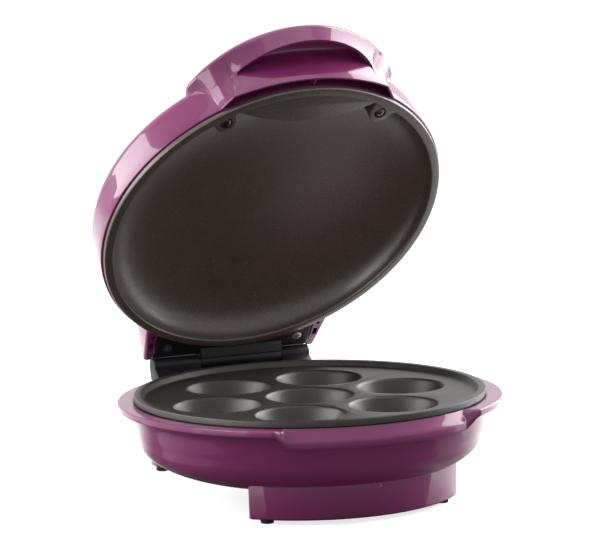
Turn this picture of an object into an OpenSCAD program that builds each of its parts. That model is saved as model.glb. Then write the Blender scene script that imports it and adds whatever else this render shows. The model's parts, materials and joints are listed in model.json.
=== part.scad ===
// Clamshell mini-cake maker: a round base with a seven-well baking plate, and a domed lid on a hinge.
// The part stands on z = 0 with its front towards -Y; the lid is drawn standing open.

/* [Lid position] */
// Angle between the lid and its closed position
open_angle = 52.5; // [0:0.5:100]
// Gap between the closed lid's rim and the baking plate's rim
close_gap = 0.5; // [0.3:0.1:2]

/* [Baking plate] */
// Radius of the baking plate's raised rim
plate_r = 100; // [96:0.5:102]
// Height of the rim's top above the table
rim_z = 61; // [58:0.5:75]
// Width of the raised rim
rim_w = 4.5; // [3:0.5:7]
// Depth of the plate's floor below the rim
rim_h = 3.5; // [2.5:0.1:4.5]
// Thickness of the plate's floor
plate_t = 2.4; // [1.8:0.1:3]
// Wells in the ring round the middle one
ring_wells = 6; // [3:1:6]
// Distance from the middle of the plate to the outer wells
well_pitch = 57.5; // [56:0.5:60]
// Radius of a well at its mouth
well_mouth_r = 25; // [20:0.5:26]
// Radius of a well at its floor
well_floor_r = 18; // [12:0.5:19]
// Depth of a well below the plate's floor
well_depth = 22; // [15:0.5:23]
// Thickness of a well's wall
well_t = 1.6; // [1.2:0.1:2]

/* [Base housing] */
// Width of the flange outside the bowl
flange_w = 8; // [5.5:0.5:12]
// Thickness of the flange
flange_t = 3.8; // [3:0.1:5]
// Step from the plate's rim down to the flange
flange_drop = 3.9; // [3:0.1:5]
// Radius of the bowl just under the flange
bowl_top_r = 101.5; // [100:0.5:104]
// Radius of the bowl where its side starts to turn in
bowl_side_r = 98; // [97:0.5:99]
// Radius of the bowl's flat underside
bowl_flat_r = 45; // [42:0.5:52]
// Height of the bowl's underside above the table
bowl_clear = 13.5; // [11:0.5:15]
// Height at which the bowl's side starts to turn in
bowl_side_z = 36; // [34:0.5:40]
// Wall of the base housing
base_wall = 2.5; // [2:0.1:3]
// Half angle of the finger recess in the front of the flange
recess_half = 33; // [25:1:40]
// Radius of the lip that runs across the finger recess
lip_r = 104; // [102.5:0.5:106]
// Drop from the plate's rim to the lip's top edge
lip_drop = 10; // [9:0.5:12]
// Height of the lip's front face
lip_h = 5; // [3:0.5:6]

/* [Feet] */
// Radius of the curved front foot
front_foot_r = 85.4; // [78:0.2:88]
// Half angle that the front foot spans
front_foot_half = 49; // [35:1:55]
// Half width of the hinge block at the back of the base
block_half = 53; // [52.5:0.5:58]
// Distance from the plate's axis to the back of the hinge block
block_y = 114; // [112.5:0.5:116]
// Side of a rear leg
leg_w = 11; // [9:0.5:14]
// Height of the rubber pads
pad_h = 2.5; // [2:0.1:4]
// Radius of a rubber pad
pad_r = 3.8; // [3:0.1:4.2]

/* [Lid shell] */
// Radius of the lid shell at its lower edge
lid_r = 103.7; // [103:0.1:107]
// Height of the lid shell's lower edge above the dish's rim
lid_edge = 3.1; // [2.8:0.1:4]
// Height at which the side turns into the rounded shoulder
lid_side_z = 21.6; // [20:0.2:26]
// Radius of the rounded shoulder
shoulder_r = 10; // [8:0.5:12]
// Draft of the side, in millimetres over its height
lid_draft = 1.4; // [0.5:0.1:2.5]
// Rise of the domed top above the shoulder
dome_rise = 15; // [14:0.5:20]
// Wall of the lid shell
lid_wall = 2.8; // [2.2:0.1:3]

/* [Handle] */
// Half width of the handle where it leaves the shell
grip_root = 54; // [50:0.5:58]
// Half width of the handle's lower lip
grip_half = 47.5; // [42:0.5:50]
// Reach of the lower lip from the plate's axis
grip_lip_y = 108.2; // [107:0.2:112]
// Radius of the lower lip's curve
grip_lip_r = 118; // [112:1:130]
// Reach of the hood from the plate's axis
hood_y = 124; // [122:0.5:130]
// Radius of the hood's curve
hood_r = 69.8; // [66:0.2:75]
// Height of the hood's lower edge above the dish's rim
hood_edge_z = 18.5; // [16:0.5:21]
// Reach of the hood's lower edge from the plate's axis
visor_y = 123; // [120:0.5:124]
// Radius of the hood's lower edge
visor_r = 51.7; // [50:0.1:53]
// Wall of the handle
grip_wall = 2.4; // [2:0.1:3]

/* [Dish] */
// Outer radius of the dish's rim
dish_rim_r = 102.5; // [101.5:0.1:103]
// Radius of the dish's mouth
dish_r = 97.2; // [94:0.2:98]
// Depth of the dish
dish_depth = 27; // [22:0.5:28]
// Thickness of the dish
dish_t = 1.3; // [1:0.1:1.8]
// Sideways place of the dish screws
dish_screw_x = 47.5; // [42:0.5:50]
// Distance of the dish screws inside the dish's mouth
dish_screw_in = 5.9; // [5.5:0.1:9]

/* [Hinge] */
// Distance from the plate's axis to the hinge axis
hinge_y = 113.8; // [113:0.2:116]
// Height of the hinge axis above the plate's rim
hinge_up = 0.8; // [0.4:0.1:2]
// Radius of the hinge barrel
barrel_r = 4.5; // [4.3:0.1:5]
// Half length of the hinge barrel
barrel_half = 50; // [48:0.5:50]
// Left end of the lid's knuckle
knuckle_left = -20.3; // [-24:0.1:-18]
// Right end of the lid's knuckle
knuckle_right = 31.8; // [28:0.1:34]
// Gap between neighbouring knuckles
knuckle_gap = 0.4; // [0.3:0.1:0.8]
// Outer radius of the hollow pivot that carries the lid's lead
sleeve_r = 2.8; // [2.6:0.05:2.9]
// Bore radius of the hollow pivot
sleeve_bore = 2.25; // [2.15:0.05:2.3]
// Radius of the solid hinge pin
pin_r = 2; // [1.5:0.1:2.5]
// Radial clearance of both pivots in the lid's knuckle
pivot_fit = 0.05; // [0.02:0.01:0.1]

/* [Electrics] */
// Radius of the heating elements' tube
element_tube_r = 3.3; // [2.8:0.1:3.5]
// Ring radius of the upper heating element
upper_ring_r = 45; // [38:0.5:48]
// Thickness of the heat shields
shield_t = 0.6; // [0.4:0.1:1]
// Radius of the sleeved lead through the hinge
hinge_lead_r = 1.9; // [1.6:0.1:1.9]
// Radius of the single leads
lead_r = 1.1; // [0.8:0.1:1.3]
// Bore radius of the cord inlet
inlet_bore = 3.3; // [3:0.1:4]

/* [Hidden] */
$fn = 64;

purple = [0.62, 0.24, 0.47];
coating = [0.16, 0.15, 0.15];
black = [0.12, 0.12, 0.13];
steel = [0.72, 0.72, 0.73];
far = 200;
eps = 0.01;
fit = 0.15;
seat_gap = 0.3;
strap_t = 0.9;
strap_fit = 0.2;

// Heights of the base, from the table up
plate_floor = rim_z - rim_h;
well_floor = plate_floor - well_depth;
flange_top = rim_z - flange_drop;
flange_low = flange_top - flange_t;
plate_skirt = 2.2;
skirt_gap = 1.2;
seat_r = plate_r - plate_skirt + skirt_gap;
seat_low = plate_floor - plate_t - seat_gap;
flange_r = bowl_top_r + flange_w;
flange_in_r = min(seat_r, bowl_top_r - base_wall) - 1.2;
foot_z = pad_h;
bowl_side_w = bowl_side_r - bowl_flat_r;
bowl_turn = bowl_side_z - bowl_clear;
floor_top = bowl_clear + base_wall;
cover_seat = bowl_clear - 0.85;
boss_top = floor_top + 14;
shield_floor = floor_top + 8.3;
shield_flat_r = 70;
shield_r = 84.6;
post_ring_r = 80;
post_angles = [30, 150, 270];
post_r = 4.2;
lower_ring_r = well_pitch;
lower_ring_z = well_floor - well_t - fit - element_tube_r;
element_gap_half = 14;

// Heights of the lid, from its closed rim plane up
lid_z = rim_z + close_gap;
hinge_z = rim_z + hinge_up;
lid_hinge_z = hinge_z - lid_z;
shoulder_c = lid_r - lid_draft - shoulder_r;
dome_angle = 2 * atan(dome_rise / (shoulder_c + shoulder_r * 0.22));
dome_edge_r = shoulder_c + shoulder_r * sin(dome_angle);
dome_edge_z = lid_side_z + shoulder_r * cos(dome_angle);
dome_sphere = dome_edge_r / sin(dome_angle);
dome_c = dome_edge_z - dome_sphere * cos(dome_angle);
dome_top = dome_c + dome_sphere;
dish_power = 3.2;
dish_screw_y = sqrt(pow(dish_r - dish_screw_in, 2) - pow(dish_screw_x, 2));
upper_ring_z = dish_out_z(upper_ring_r) + fit + strap_t + strap_fit + element_tube_r;
upper_shield_z = upper_ring_z + element_tube_r + 0.5;
upper_shield_flat = 55;
upper_shield_r = 78;
upper_post_r = 72;

// Rear end of the lid, which carries the hinge
rear_half = 59;
tip_half = 54.8;
rear_root_y = 84;
tip_y = hinge_y - 1.9;
slope_top_y = 88;
ear_in = barrel_half + 0.6;
tongue_t = 3;
tongue_r = lid_r + 0.3;
tongue_y = hinge_y - barrel_r - 1.1;
tongue_screw_x = 42;
tongue_screw_y = 102.5;
heel_r = 8;
heel_from = 12;
heel_to = 38;

// The bounding box's middle lies on the part's origin while the lid stands open
rear_reach = hinge_y + (shoulder_c - hinge_y) * cos(open_angle)
    + (lid_side_z + lid_z - hinge_z) * sin(open_angle) + shoulder_r;
seat_y = -(rear_reach - lip_r) / 2;

// Hinge block and what it holds
block_top = flange_low;
block_low = floor_top + 2;
duct_low = block_low + base_wall;
duct_top = block_top - base_wall;
duct_y = block_y - base_wall;
inlet_x = 26;
inlet_z = 36;
inlet_r = 5.5;
clamp_y = 100;
clamp_z = inlet_z - 6;
block_x = -14;
block_w = 26;
strip_d = 11;
strip_h = 9;
strip_y = 97;
lead_x = -40;
sleeve_from = -34;
sleeve_to = -12;
pin_from = 22;
pin_to = 46;
bracket_y = 104.4;
web_top = hinge_z - barrel_r - 0.7;
bracket_screw_x = [-46.4, -27, 37, 46];
bracket_screw_y = 107.6;
screw_r = 1.5;
screw_head_r = 2.9;
screw_head_h = 1.8;

// ---- shared shapes ----

function arc(cx, cy, r, from, to, n = 12) =
    [for (i = [0:n]) let(a = from + (to - from) * i / n) [cx + r * cos(a), cy + r * sin(a)]];

function bowl_z(r, inset = 0) =
    bowl_side_z - (bowl_turn - inset)
        * sqrt(max(0, 1 - pow(max(0, r - bowl_flat_r) / (bowl_side_w - inset), 2)));

function bowl_curve(inset) =
    [for (i = [0:14]) let(a = 90 * i / 14)
        [bowl_flat_r + (bowl_side_w - inset) * sin(a), bowl_side_z - (bowl_turn - inset) * cos(a)]];

function dish_in_z(r) = dish_depth * sqrt(max(0, 1 - pow(r / dish_r, dish_power)));
function dish_out_z(r) = dish_in_z(r) + dish_t;

function dome_z(r, inset = 0) = dome_c + sqrt(pow(dome_sphere - inset, 2) - r * r);

function shell_curve(inset) = concat(
    [[lid_r - inset, lid_edge]],
    arc(shoulder_c, lid_side_z, shoulder_r - inset, 4, 90 - dome_angle, 10),
    [for (i = [9:-1:0]) let(a = dome_angle * i / 10)
        [(dome_sphere - inset) * sin(a), dome_c + (dome_sphere - inset) * cos(a)]]);

// A route through hand-set points, rounded by Catmull-Rom curves
function route_point(p, i, t) =
    let(a = p[max(i - 1, 0)], b = p[i], c = p[i + 1], d = p[min(i + 2, len(p) - 1)])
    0.5 * (2 * b + (c - a) * t + (2 * a - 5 * b + 4 * c - d) * t * t
        + (3 * b - a - 3 * c + d) * t * t * t);
function route(p, steps = 4) =
    concat([for (i = [0:len(p) - 2]) for (s = [0:steps - 1]) route_point(p, i, s / steps)],
        [p[len(p) - 1]]);
function unit(v) = v / norm(v);
function heading(p, i) = unit(p[min(i + 1, len(p) - 1)] - p[max(i - 1, 0)]);
function square_to(v, t) = unit(v - (v * t) * t);
function carried(p, i, v) =
    i == len(p) ? [] : let(n = square_to(v, heading(p, i))) concat([n], carried(p, i + 1, n));

// A lead or cable of round section along a route
module lead(points, r, sides = 8) {
    path = route(points);
    last = len(path) - 1;
    start = abs(heading(path, 0)[2]) > 0.7 ? [1, 0, 0] : [0, 0, 1];
    side = carried(path, 0, start);
    rings = [for (i = [0:last]) for (k = [0:sides - 1])
        path[i] + r * (cos(360 * k / sides) * side[i]
            + sin(360 * k / sides) * cross(heading(path, i), side[i]))];
    walls = [for (i = [0:last - 1]) for (k = [0:sides - 1])
        let(n = (k + 1) % sides)
        each [[i * sides + k, (i + 1) * sides + k, i * sides + n],
            [i * sides + n, (i + 1) * sides + k, (i + 1) * sides + n]]];
    ends = [[for (k = [0:sides - 1]) k], [for (k = [sides - 1:-1:0]) last * sides + k]];
    polyhedron(points = rings, faces = concat(walls, ends));
}

module place_base() {
    translate([0, seat_y, 0]) children();
}

// From the lid's own frame, closed, to its open place
module place_lid() {
    translate([0, seat_y + hinge_y, hinge_z])
        rotate([-open_angle, 0, 0])
            translate([0, -hinge_y, lid_z - hinge_z])
                children();
}

module at_posts(r, angles) {
    for (a = angles) rotate([0, 0, a]) translate([r, 0, 0]) children();
}

// A pan-head screw that points up, its head's top face at z = 0
module screw(length, r = screw_r, head_r = screw_head_r, head_h = screw_head_h) {
    difference() {
        union() {
            translate([0, 0, -head_h]) cylinder(r = head_r, h = head_h);
            translate([0, 0, -eps]) cylinder(r = r, h = length);
        }
        translate([0, 0, -head_h - 1])
            linear_extrude(1 + head_h * 0.55) {
                square([head_r * 1.2, 0.6], center = true);
                square([0.6, head_r * 1.2], center = true);
            }
    }
}

module slice(r, from, to) {
    polygon(concat([[0, 0]], arc(0, 0, r / cos((to - from) / 8), from, to, 4)));
}

// ---- base ----

module bowl_solid(inset) {
    rotate_extrude()
        polygon(concat([[0, bowl_clear + inset]], bowl_curve(inset),
            [[bowl_top_r - inset, flange_low + (inset > 0 ? 1 : 0)],
                [bowl_top_r - inset, flange_low + 1], [0, flange_low + 1]]));
}

module flange() {
    rotate_extrude()
        polygon([[flange_in_r, flange_low], [flange_r - 0.8, flange_low],
            [flange_r, flange_low + 0.8], [flange_r, flange_top - 0.8], [flange_r - 0.8, flange_top],
            [flange_in_r, flange_top]]);
}

// The sloping lip that fills the finger recess
module recess_lip() {
    rotate([0, 0, -90 - recess_half - 1])
        rotate_extrude(angle = 2 * recess_half + 2)
            polygon([[seat_r - 0.5, seat_low], [seat_r - 0.6, flange_top], [plate_r + 0.4, flange_top],
                [lip_r, rim_z - lip_drop], [lip_r, rim_z - lip_drop - lip_h],
                [bowl_top_r - 1, rim_z - lip_drop - lip_h - 1.5],
                [bowl_top_r - base_wall, rim_z - lip_drop - lip_h]]);
}

module front_foot() {
    in_r = front_foot_r - base_wall;
    root_r = front_foot_r - 13;
    wall_angle = base_wall / front_foot_r * 180 / PI;
    difference() {
        rotate([0, 0, -90 - front_foot_half])
            rotate_extrude(angle = 2 * front_foot_half)
                polygon(concat([[root_r, foot_z], [front_foot_r, foot_z]],
                    [for (i = [6:-1:0]) let(r = root_r + (front_foot_r - root_r) * i / 6)
                        [r, bowl_z(r) + 1]]));
        rotate([0, 0, -90 - front_foot_half + wall_angle])
            rotate_extrude(angle = 2 * (front_foot_half - wall_angle))
                polygon([[root_r - 1, foot_z - 1], [in_r, foot_z - 1],
                    [in_r, rim_z], [root_r - 1, rim_z]]);
    }
    for (s = [-1, 1])
        intersection() {
            rotate([0, 0, -90 + s * (front_foot_half - 6.5)])
                translate([in_r - 4.5, 0, foot_z + 1.25])
                    cube([11, 16, 2.5], center = true);
            translate([0, 0, foot_z - 1])
                linear_extrude(5)
                    intersection() {
                        circle(r = front_foot_r - 1);
                        slice(far, -90 - front_foot_half, -90 + front_foot_half);
                    }
        }
}

module hinge_block(inset) {
    low = block_low + inset;
    translate([-block_half + inset, 62, low])
        cube([2 * (block_half - inset), block_y - inset - 62, block_top - inset - low]);
}

module rear_legs() {
    for (s = [-1, 1])
        difference() {
            translate([s > 0 ? block_half - leg_w : -block_half, block_y - leg_w, foot_z])
                cube([leg_w, leg_w, block_low - foot_z + 1]);
            translate([s > 0 ? block_half - leg_w - 1 : -block_half + base_wall,
                block_y - leg_w - 1, foot_z + 2.5])
                cube([leg_w - base_wall + 1, leg_w - base_wall + 1, block_low - foot_z - 2.5]);
        }
}

module pad_places() {
    pad_ring = front_foot_r - base_wall - pad_r - 0.3;
    for (s = [-1, 1]) {
        rotate([0, 0, -90 + s * (front_foot_half - 6)]) translate([pad_ring, 0, 0]) children();
        translate([s * (block_half - leg_w / 2), block_y - leg_w / 2, 0]) children();
    }
}

module cover_screw_places() {
    for (a = [45:90:315]) rotate([0, 0, a]) translate([bowl_flat_r - 4.5, 0, 0]) children();
}

module base_housing() {
    clamp_posts = [-7, 7];
    color(purple) place_base()
        difference() {
            union() {
                difference() {
                    union() {
                        bowl_solid(0);
                        flange();
                        hinge_block(0);
                    }
                    translate([0, 0, rim_z - lip_drop - lip_h + 1])
                        linear_extrude(far)
                            difference() {
                                slice(far, -90 - recess_half, -90 + recess_half);
                                circle(r = bowl_top_r - 0.6);
                            }
                    bowl_solid(base_wall);
                    translate([0, 0, flange_low - 2])
                        cylinder(r = bowl_top_r - base_wall, h = seat_low - flange_low + 2.1);
                    translate([0, 0, seat_low]) cylinder(r = seat_r, h = 10);
                    difference() {
                        hinge_block(base_wall);
                        translate([0, 0, -1]) cylinder(r = bowl_flat_r, h = far);
                    }
                    translate([-barrel_half - 0.8, bracket_y - 0.4, block_top])
                        cube([2 * barrel_half + 1.6, 20, 20]);
                }
                recess_lip();
                front_foot();
                rear_legs();
                at_posts(post_ring_r, post_angles)
                    translate([0, 0, bowl_z(post_ring_r - post_r) + 0.6])
                        cylinder(r = post_r + 1.6, h = boss_top - bowl_z(post_ring_r - post_r) - 0.6);
                cover_screw_places()
                    translate([0, 0, bowl_clear]) cylinder(r = 3.2, h = 9.2);
                for (x = clamp_posts)
                    translate([inlet_x + x, clamp_y, duct_low - 1])
                        cylinder(r = 2.6, h = clamp_z - duct_low + 1);
            }
            at_posts(post_ring_r, post_angles) {
                cylinder(r = screw_r + 0.2, h = boss_top + 1);
                cylinder(r = screw_head_r + 0.3, h = boss_top - 3);
            }
            translate([0, 0, bowl_clear - 1]) cylinder(r = bowl_flat_r - 9, h = base_wall + 2);
            cover_screw_places()
                translate([0, 0, bowl_clear - 1]) cylinder(r = screw_r, h = 8);
            pad_places() cylinder(r = pad_r - 2.2, h = foot_z + 3.5);
            translate([inlet_x, duct_y - 1, inlet_z]) rotate([-90, 0, 0])
                cylinder(r = inlet_r, h = base_wall + 2);
            for (x = clamp_posts)
                translate([inlet_x + x, clamp_y, clamp_z - 7]) cylinder(r = screw_r, h = 8);
            for (x = bracket_screw_x)
                translate([x, bracket_screw_y, duct_top - 1])
                    cylinder(r = screw_r + 0.2, h = base_wall + 2);
            translate([lead_x, hinge_y - 5.2, duct_top - 1])
                cylinder(r = hinge_lead_r + 0.5, h = base_wall + 2);
        }
}

module bottom_cover() {
    color(black) place_base()
        difference() {
            union() {
                translate([0, 0, bowl_clear - 2]) cylinder(r = bowl_flat_r - 1, h = 2);
                translate([0, 0, bowl_clear - 1]) cylinder(r = bowl_flat_r - 9.4, h = 2.5);
            }
            translate([0, 0, bowl_clear]) cylinder(r = bowl_flat_r - 11.4, h = 3);
            cover_screw_places() {
                translate([0, 0, bowl_clear - 3]) cylinder(r = screw_r + 0.2, h = 6);
                translate([0, 0, cover_seat - 3]) cylinder(r = screw_head_r + 0.2, h = 3);
            }
            for (y = [-18:6:18])
                translate([-14, y - 1.2, bowl_clear - 3]) cube([28, 2.4, 8]);
        }
}

module bottom_cover_screws() {
    color(steel) place_base()
        cover_screw_places() translate([0, 0, cover_seat]) screw(7, head_h = 1.1);
}

module rubber_pads() {
    color([0.1, 0.1, 0.1]) place_base()
        pad_places() {
            cylinder(r = pad_r, h = foot_z);
            cylinder(r = pad_r - 2.3, h = foot_z + 3);
        }
}

// ---- baking plate and what heats it ----

function well_curve(grow) =
    let(low = well_floor - grow, corner = 5 + grow, floor_r = well_floor_r + grow,
        mouth_r = well_mouth_r + grow)
    concat([[0, low]], arc(floor_r - corner, low + corner, corner, -90, -15, 6),
        [[mouth_r, plate_floor - 0.4], [mouth_r + 0.6, plate_floor + (grow > 0 ? -1 : eps)],
            [0, plate_floor + (grow > 0 ? -1 : eps)]]);

module wells(grow) {
    rotate_extrude() polygon(well_curve(grow));
    for (i = [0:ring_wells - 1])
        rotate([0, 0, 360 * i / ring_wells]) translate([well_pitch, 0, 0])
            rotate_extrude() polygon(well_curve(grow));
}

module lower_baking_plate() {
    post_low = boss_top + shield_t;
    color(coating) place_base()
        difference() {
            union() {
                rotate_extrude()
                    polygon([[0, plate_floor - plate_t], [plate_r - plate_skirt, plate_floor - plate_t],
                        [plate_r - plate_skirt, flange_top + 0.1], [plate_r - 0.4, flange_top + 0.1],
                        [plate_r, flange_top + 0.5], [plate_r, rim_z - 0.8], [plate_r - 0.8, rim_z],
                        [plate_r - rim_w + 0.8, rim_z], [plate_r - rim_w, rim_z - 0.8],
                        [plate_r - rim_w - 1, plate_floor], [0, plate_floor]]);
                wells(well_t);
                at_posts(post_ring_r, post_angles)
                    translate([0, 0, post_low])
                        cylinder(r = post_r, h = plate_floor - plate_t - post_low + 0.5);
            }
            wells(0);
            at_posts(post_ring_r, post_angles)
                translate([0, 0, post_low - 1]) cylinder(r = screw_r, h = 12);
        }
}

module plate_screws() {
    color(steel) place_base()
        at_posts(post_ring_r, post_angles)
            translate([0, 0, boss_top - 3]) screw(12);
}

module element_ring(ring_r, z) {
    translate([0, 0, z])
        rotate([0, 0, 90 + element_gap_half])
            rotate_extrude(angle = 360 - 2 * element_gap_half)
                translate([ring_r, 0]) circle(r = element_tube_r);
}

module lower_heating_element() {
    color([0.45, 0.44, 0.43]) place_base() {
        element_ring(lower_ring_r, lower_ring_z);
        for (s = [-1, 1])
            rotate([0, 0, 90 + s * element_gap_half])
                translate([lower_ring_r, 0, 0]) {
                    translate([0, 0, shield_floor - 2])
                        cylinder(r = element_tube_r - 0.3, h = lower_ring_z - shield_floor + 2);
                    translate([0, 0, lower_ring_z]) sphere(r = element_tube_r + 0.05);
                    translate([0, 0, shield_floor - 5.5]) cylinder(r = 1.2, h = 4);
                }
    }
}

// A strap that holds the element down on its shield
module element_strap(z, floor_z) {
    up = z - floor_z;
    translate([-3, 0, z])
        rotate([90, 0, 90])
            linear_extrude(6)
                difference() {
                    union() {
                        circle(r = element_tube_r + strap_t);
                        translate([-element_tube_r - strap_t, -up])
                            square([2 * (element_tube_r + strap_t), up]);
                        translate([-element_tube_r - 5, -up]) square([2 * element_tube_r + 10, 0.8]);
                    }
                    circle(r = element_tube_r + strap_fit);
                    translate([-element_tube_r - strap_fit, -up - 1])
                        square([2 * (element_tube_r + strap_fit), up + 1]);
                }
}

module element_clips() {
    color(steel) place_base()
        for (a = [30, 150, 270])
            rotate([0, 0, a - 90]) translate([0, lower_ring_r, 0])
                element_strap(lower_ring_z, shield_floor + shield_t);
}

module lower_heat_shield() {
    color([0.78, 0.78, 0.79]) place_base()
        difference() {
            rotate_extrude()
                polygon([[0, shield_floor], [shield_flat_r, shield_floor],
                    [shield_flat_r + 4, boss_top], [shield_r, boss_top], [shield_r, boss_top + shield_t],
                    [shield_flat_r + 3.6, boss_top + shield_t],
                    [shield_flat_r - 0.4, shield_floor + shield_t],
                    [0, shield_floor + shield_t]]);
            at_posts(post_ring_r, post_angles) cylinder(r = screw_r + 0.3, h = far);
            for (s = [-1, 1])
                rotate([0, 0, 90 + s * element_gap_half])
                    translate([lower_ring_r, 0, 0]) cylinder(r = element_tube_r + 0.2, h = far);
            cylinder(r = 6.6, h = far);
        }
}

module thermostat() {
    body_top = well_floor - well_t - fit;
    low = shield_floor + shield_t;
    color([0.85, 0.84, 0.8]) place_base() {
        translate([0, 0, low]) cylinder(r = 8, h = body_top - low);
        translate([-12, -3.5, low]) cube([24, 7, 0.8]);
        for (s = [-1, 1])
            translate([s * 3.5 - 0.4, -3, shield_floor - 5.5]) cube([0.8, 6, 6.6]);
    }
}

fuse_at = [-20, 36, shield_floor - 2.35];

module thermal_fuse() {
    color([0.8, 0.76, 0.62]) place_base()
        translate(fuse_at) rotate([90, 0, 0]) {
            cylinder(r = 2.1, h = 11, center = true);
            cylinder(r = 0.5, h = 19, center = true);
        }
}

module fuse_clip() {
    color(steel) place_base()
        translate([fuse_at[0], fuse_at[1] + 3, fuse_at[2]])
            rotate([90, 0, 0])
                linear_extrude(6)
                    difference() {
                        union() {
                            circle(r = 2.8);
                            translate([-2.8, 0]) square([5.6, 2.3]);
                            translate([-6, 1.7]) square([12, 0.6]);
                        }
                        circle(r = 2.15);
                        translate([-2.15, 0]) square([4.3, 3]);
                    }
}

// ---- wiring ----

strip_front = strip_y - strip_d / 2;
strip_back = strip_y + strip_d / 2;
strip_mid_z = duct_low + strip_h / 2;
function strip_hole(i) = [block_x + (i - 1) * 8, strip_front, strip_mid_z];
end_left = [-lower_ring_r * sin(element_gap_half), lower_ring_r * cos(element_gap_half),
    shield_floor - 4.4];
end_right = [-end_left[0], end_left[1], end_left[2]];

module terminal_block() {
    color([0.88, 0.87, 0.83]) place_base()
        difference() {
            translate([block_x - block_w / 2, strip_front, duct_low]) cube([block_w, strip_d, strip_h]);
            for (i = [0:2]) {
                translate([strip_hole(i)[0], strip_front - 1, strip_mid_z])
                    rotate([-90, 0, 0]) cylinder(r = lead_r + 0.4, h = strip_d + 2);
                translate([strip_hole(i)[0], strip_y, strip_mid_z]) cylinder(r = 1.6, h = strip_h);
            }
        }
}

module live_lead() {
    hole = strip_hole(0);
    color([0.45, 0.25, 0.15]) place_base()
        lead([hole + [0, 3, 0], hole + [0, -2, 0], [-22, 85, 27], [-22, 75, 22], [-20, 60, 20.4],
            [fuse_at[0], fuse_at[1] + 14, fuse_at[2]],
            [fuse_at[0], fuse_at[1] + 9.7, fuse_at[2]]], lead_r);
}

module thermostat_leads() {
    blade_z = shield_floor - 4;
    color([0.45, 0.25, 0.15]) place_base() {
        lead([[fuse_at[0], fuse_at[1] - 9.7, fuse_at[2]], [-20, 20, 20.2], [-16, 8, 20],
            [-9, 1, blade_z], [-3.9 - lead_r, 0, blade_z]], lead_r);
        lead([[3.9 + lead_r, 0, blade_z], [10, 2, blade_z], [17, 18, 20], [17, 40, 20],
            end_right + [1.2, -6, 0], end_right + [0, -1.2 - lead_r, 0]], lead_r);
    }
}

module neutral_lead() {
    hole = strip_hole(1);
    color([0.2, 0.3, 0.6]) place_base()
        lead([hole + [0, 3, 0], hole + [0, -2, 0], [-14, 85, 27], [-14, 75, 22],
            end_left + [0, 8, 0], end_left + [0, 1.2 + lead_r, 0]], lead_r);
}

module earth_lead() {
    hole = strip_hole(2);
    foot_r = post_ring_r + post_r + lead_r + 0.1;
    foot = [cos(30) * foot_r, sin(30) * foot_r, 40];
    color([0.35, 0.55, 0.2]) place_base()
        lead([hole + [0, 3, 0], hole + [0, -1, 0], hole + [0, -3, 1.4],
            [0, 88, 31.5], [8, 87, 36], [30, 82, 38], [62, 62, 40],
            foot + [0, 8, 2], foot + [0, 2, 0]], lead_r);
}

axis_base = [0, hinge_y, hinge_z];

module lid_lead_lower() {
    up_y = hinge_y - 5.2;
    color([0.75, 0.73, 0.7]) place_base()
        lead([[strip_hole(0)[0], strip_back + 0.2, strip_mid_z],
            [strip_hole(0)[0] - 0.5, strip_back + 3, strip_mid_z + 0.2],
            [-29, 107.4, 28], [-36, 108, 34],
            [lead_x, up_y, 42], [lead_x, up_y, duct_top], [lead_x, up_y + 1, block_top + 2],
            [lead_x + 0.5, hinge_y - 1, hinge_z - 1.6], [lead_x + 4, hinge_y, hinge_z],
            [lead_x + 8, hinge_y, hinge_z],
            [knuckle_left - knuckle_gap, hinge_y, hinge_z]], hinge_lead_r);
}

module cord_inlet() {
    color(black) place_base()
        translate([inlet_x, duct_y, inlet_z])
            rotate([-90, 0, 0])
                difference() {
                    union() {
                        translate([0, 0, -2]) cylinder(r = inlet_r + 1.2, h = 1.8);
                        translate([0, 0, -1]) cylinder(r = inlet_r - 0.1, h = base_wall + 2);
                        translate([0, 0, base_wall + 0.2]) cylinder(r = inlet_r + 1.5, h = 2);
                    }
                    translate([0, 0, -3]) cylinder(r = inlet_bore, h = base_wall + 8);
                }
}

module cord_clamp() {
    color([0.85, 0.84, 0.8]) place_base()
        difference() {
            translate([inlet_x - 10, clamp_y - 3.5, clamp_z + 0.1]) cube([20, 7, 3]);
            for (x = [-7, 7])
                translate([inlet_x + x, clamp_y, clamp_z - 1]) cylinder(r = screw_r + 0.2, h = 6);
            translate([inlet_x, clamp_y - 5, inlet_z])
                rotate([-90, 0, 0]) cylinder(r = inlet_bore, h = 10);
        }
}

module cord_clamp_screws() {
    color(steel) place_base()
        for (x = [-7, 7])
            translate([inlet_x + x, clamp_y, clamp_z + 3.2]) mirror([0, 0, 1]) screw(9);
}

// ---- hinge ----

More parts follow.
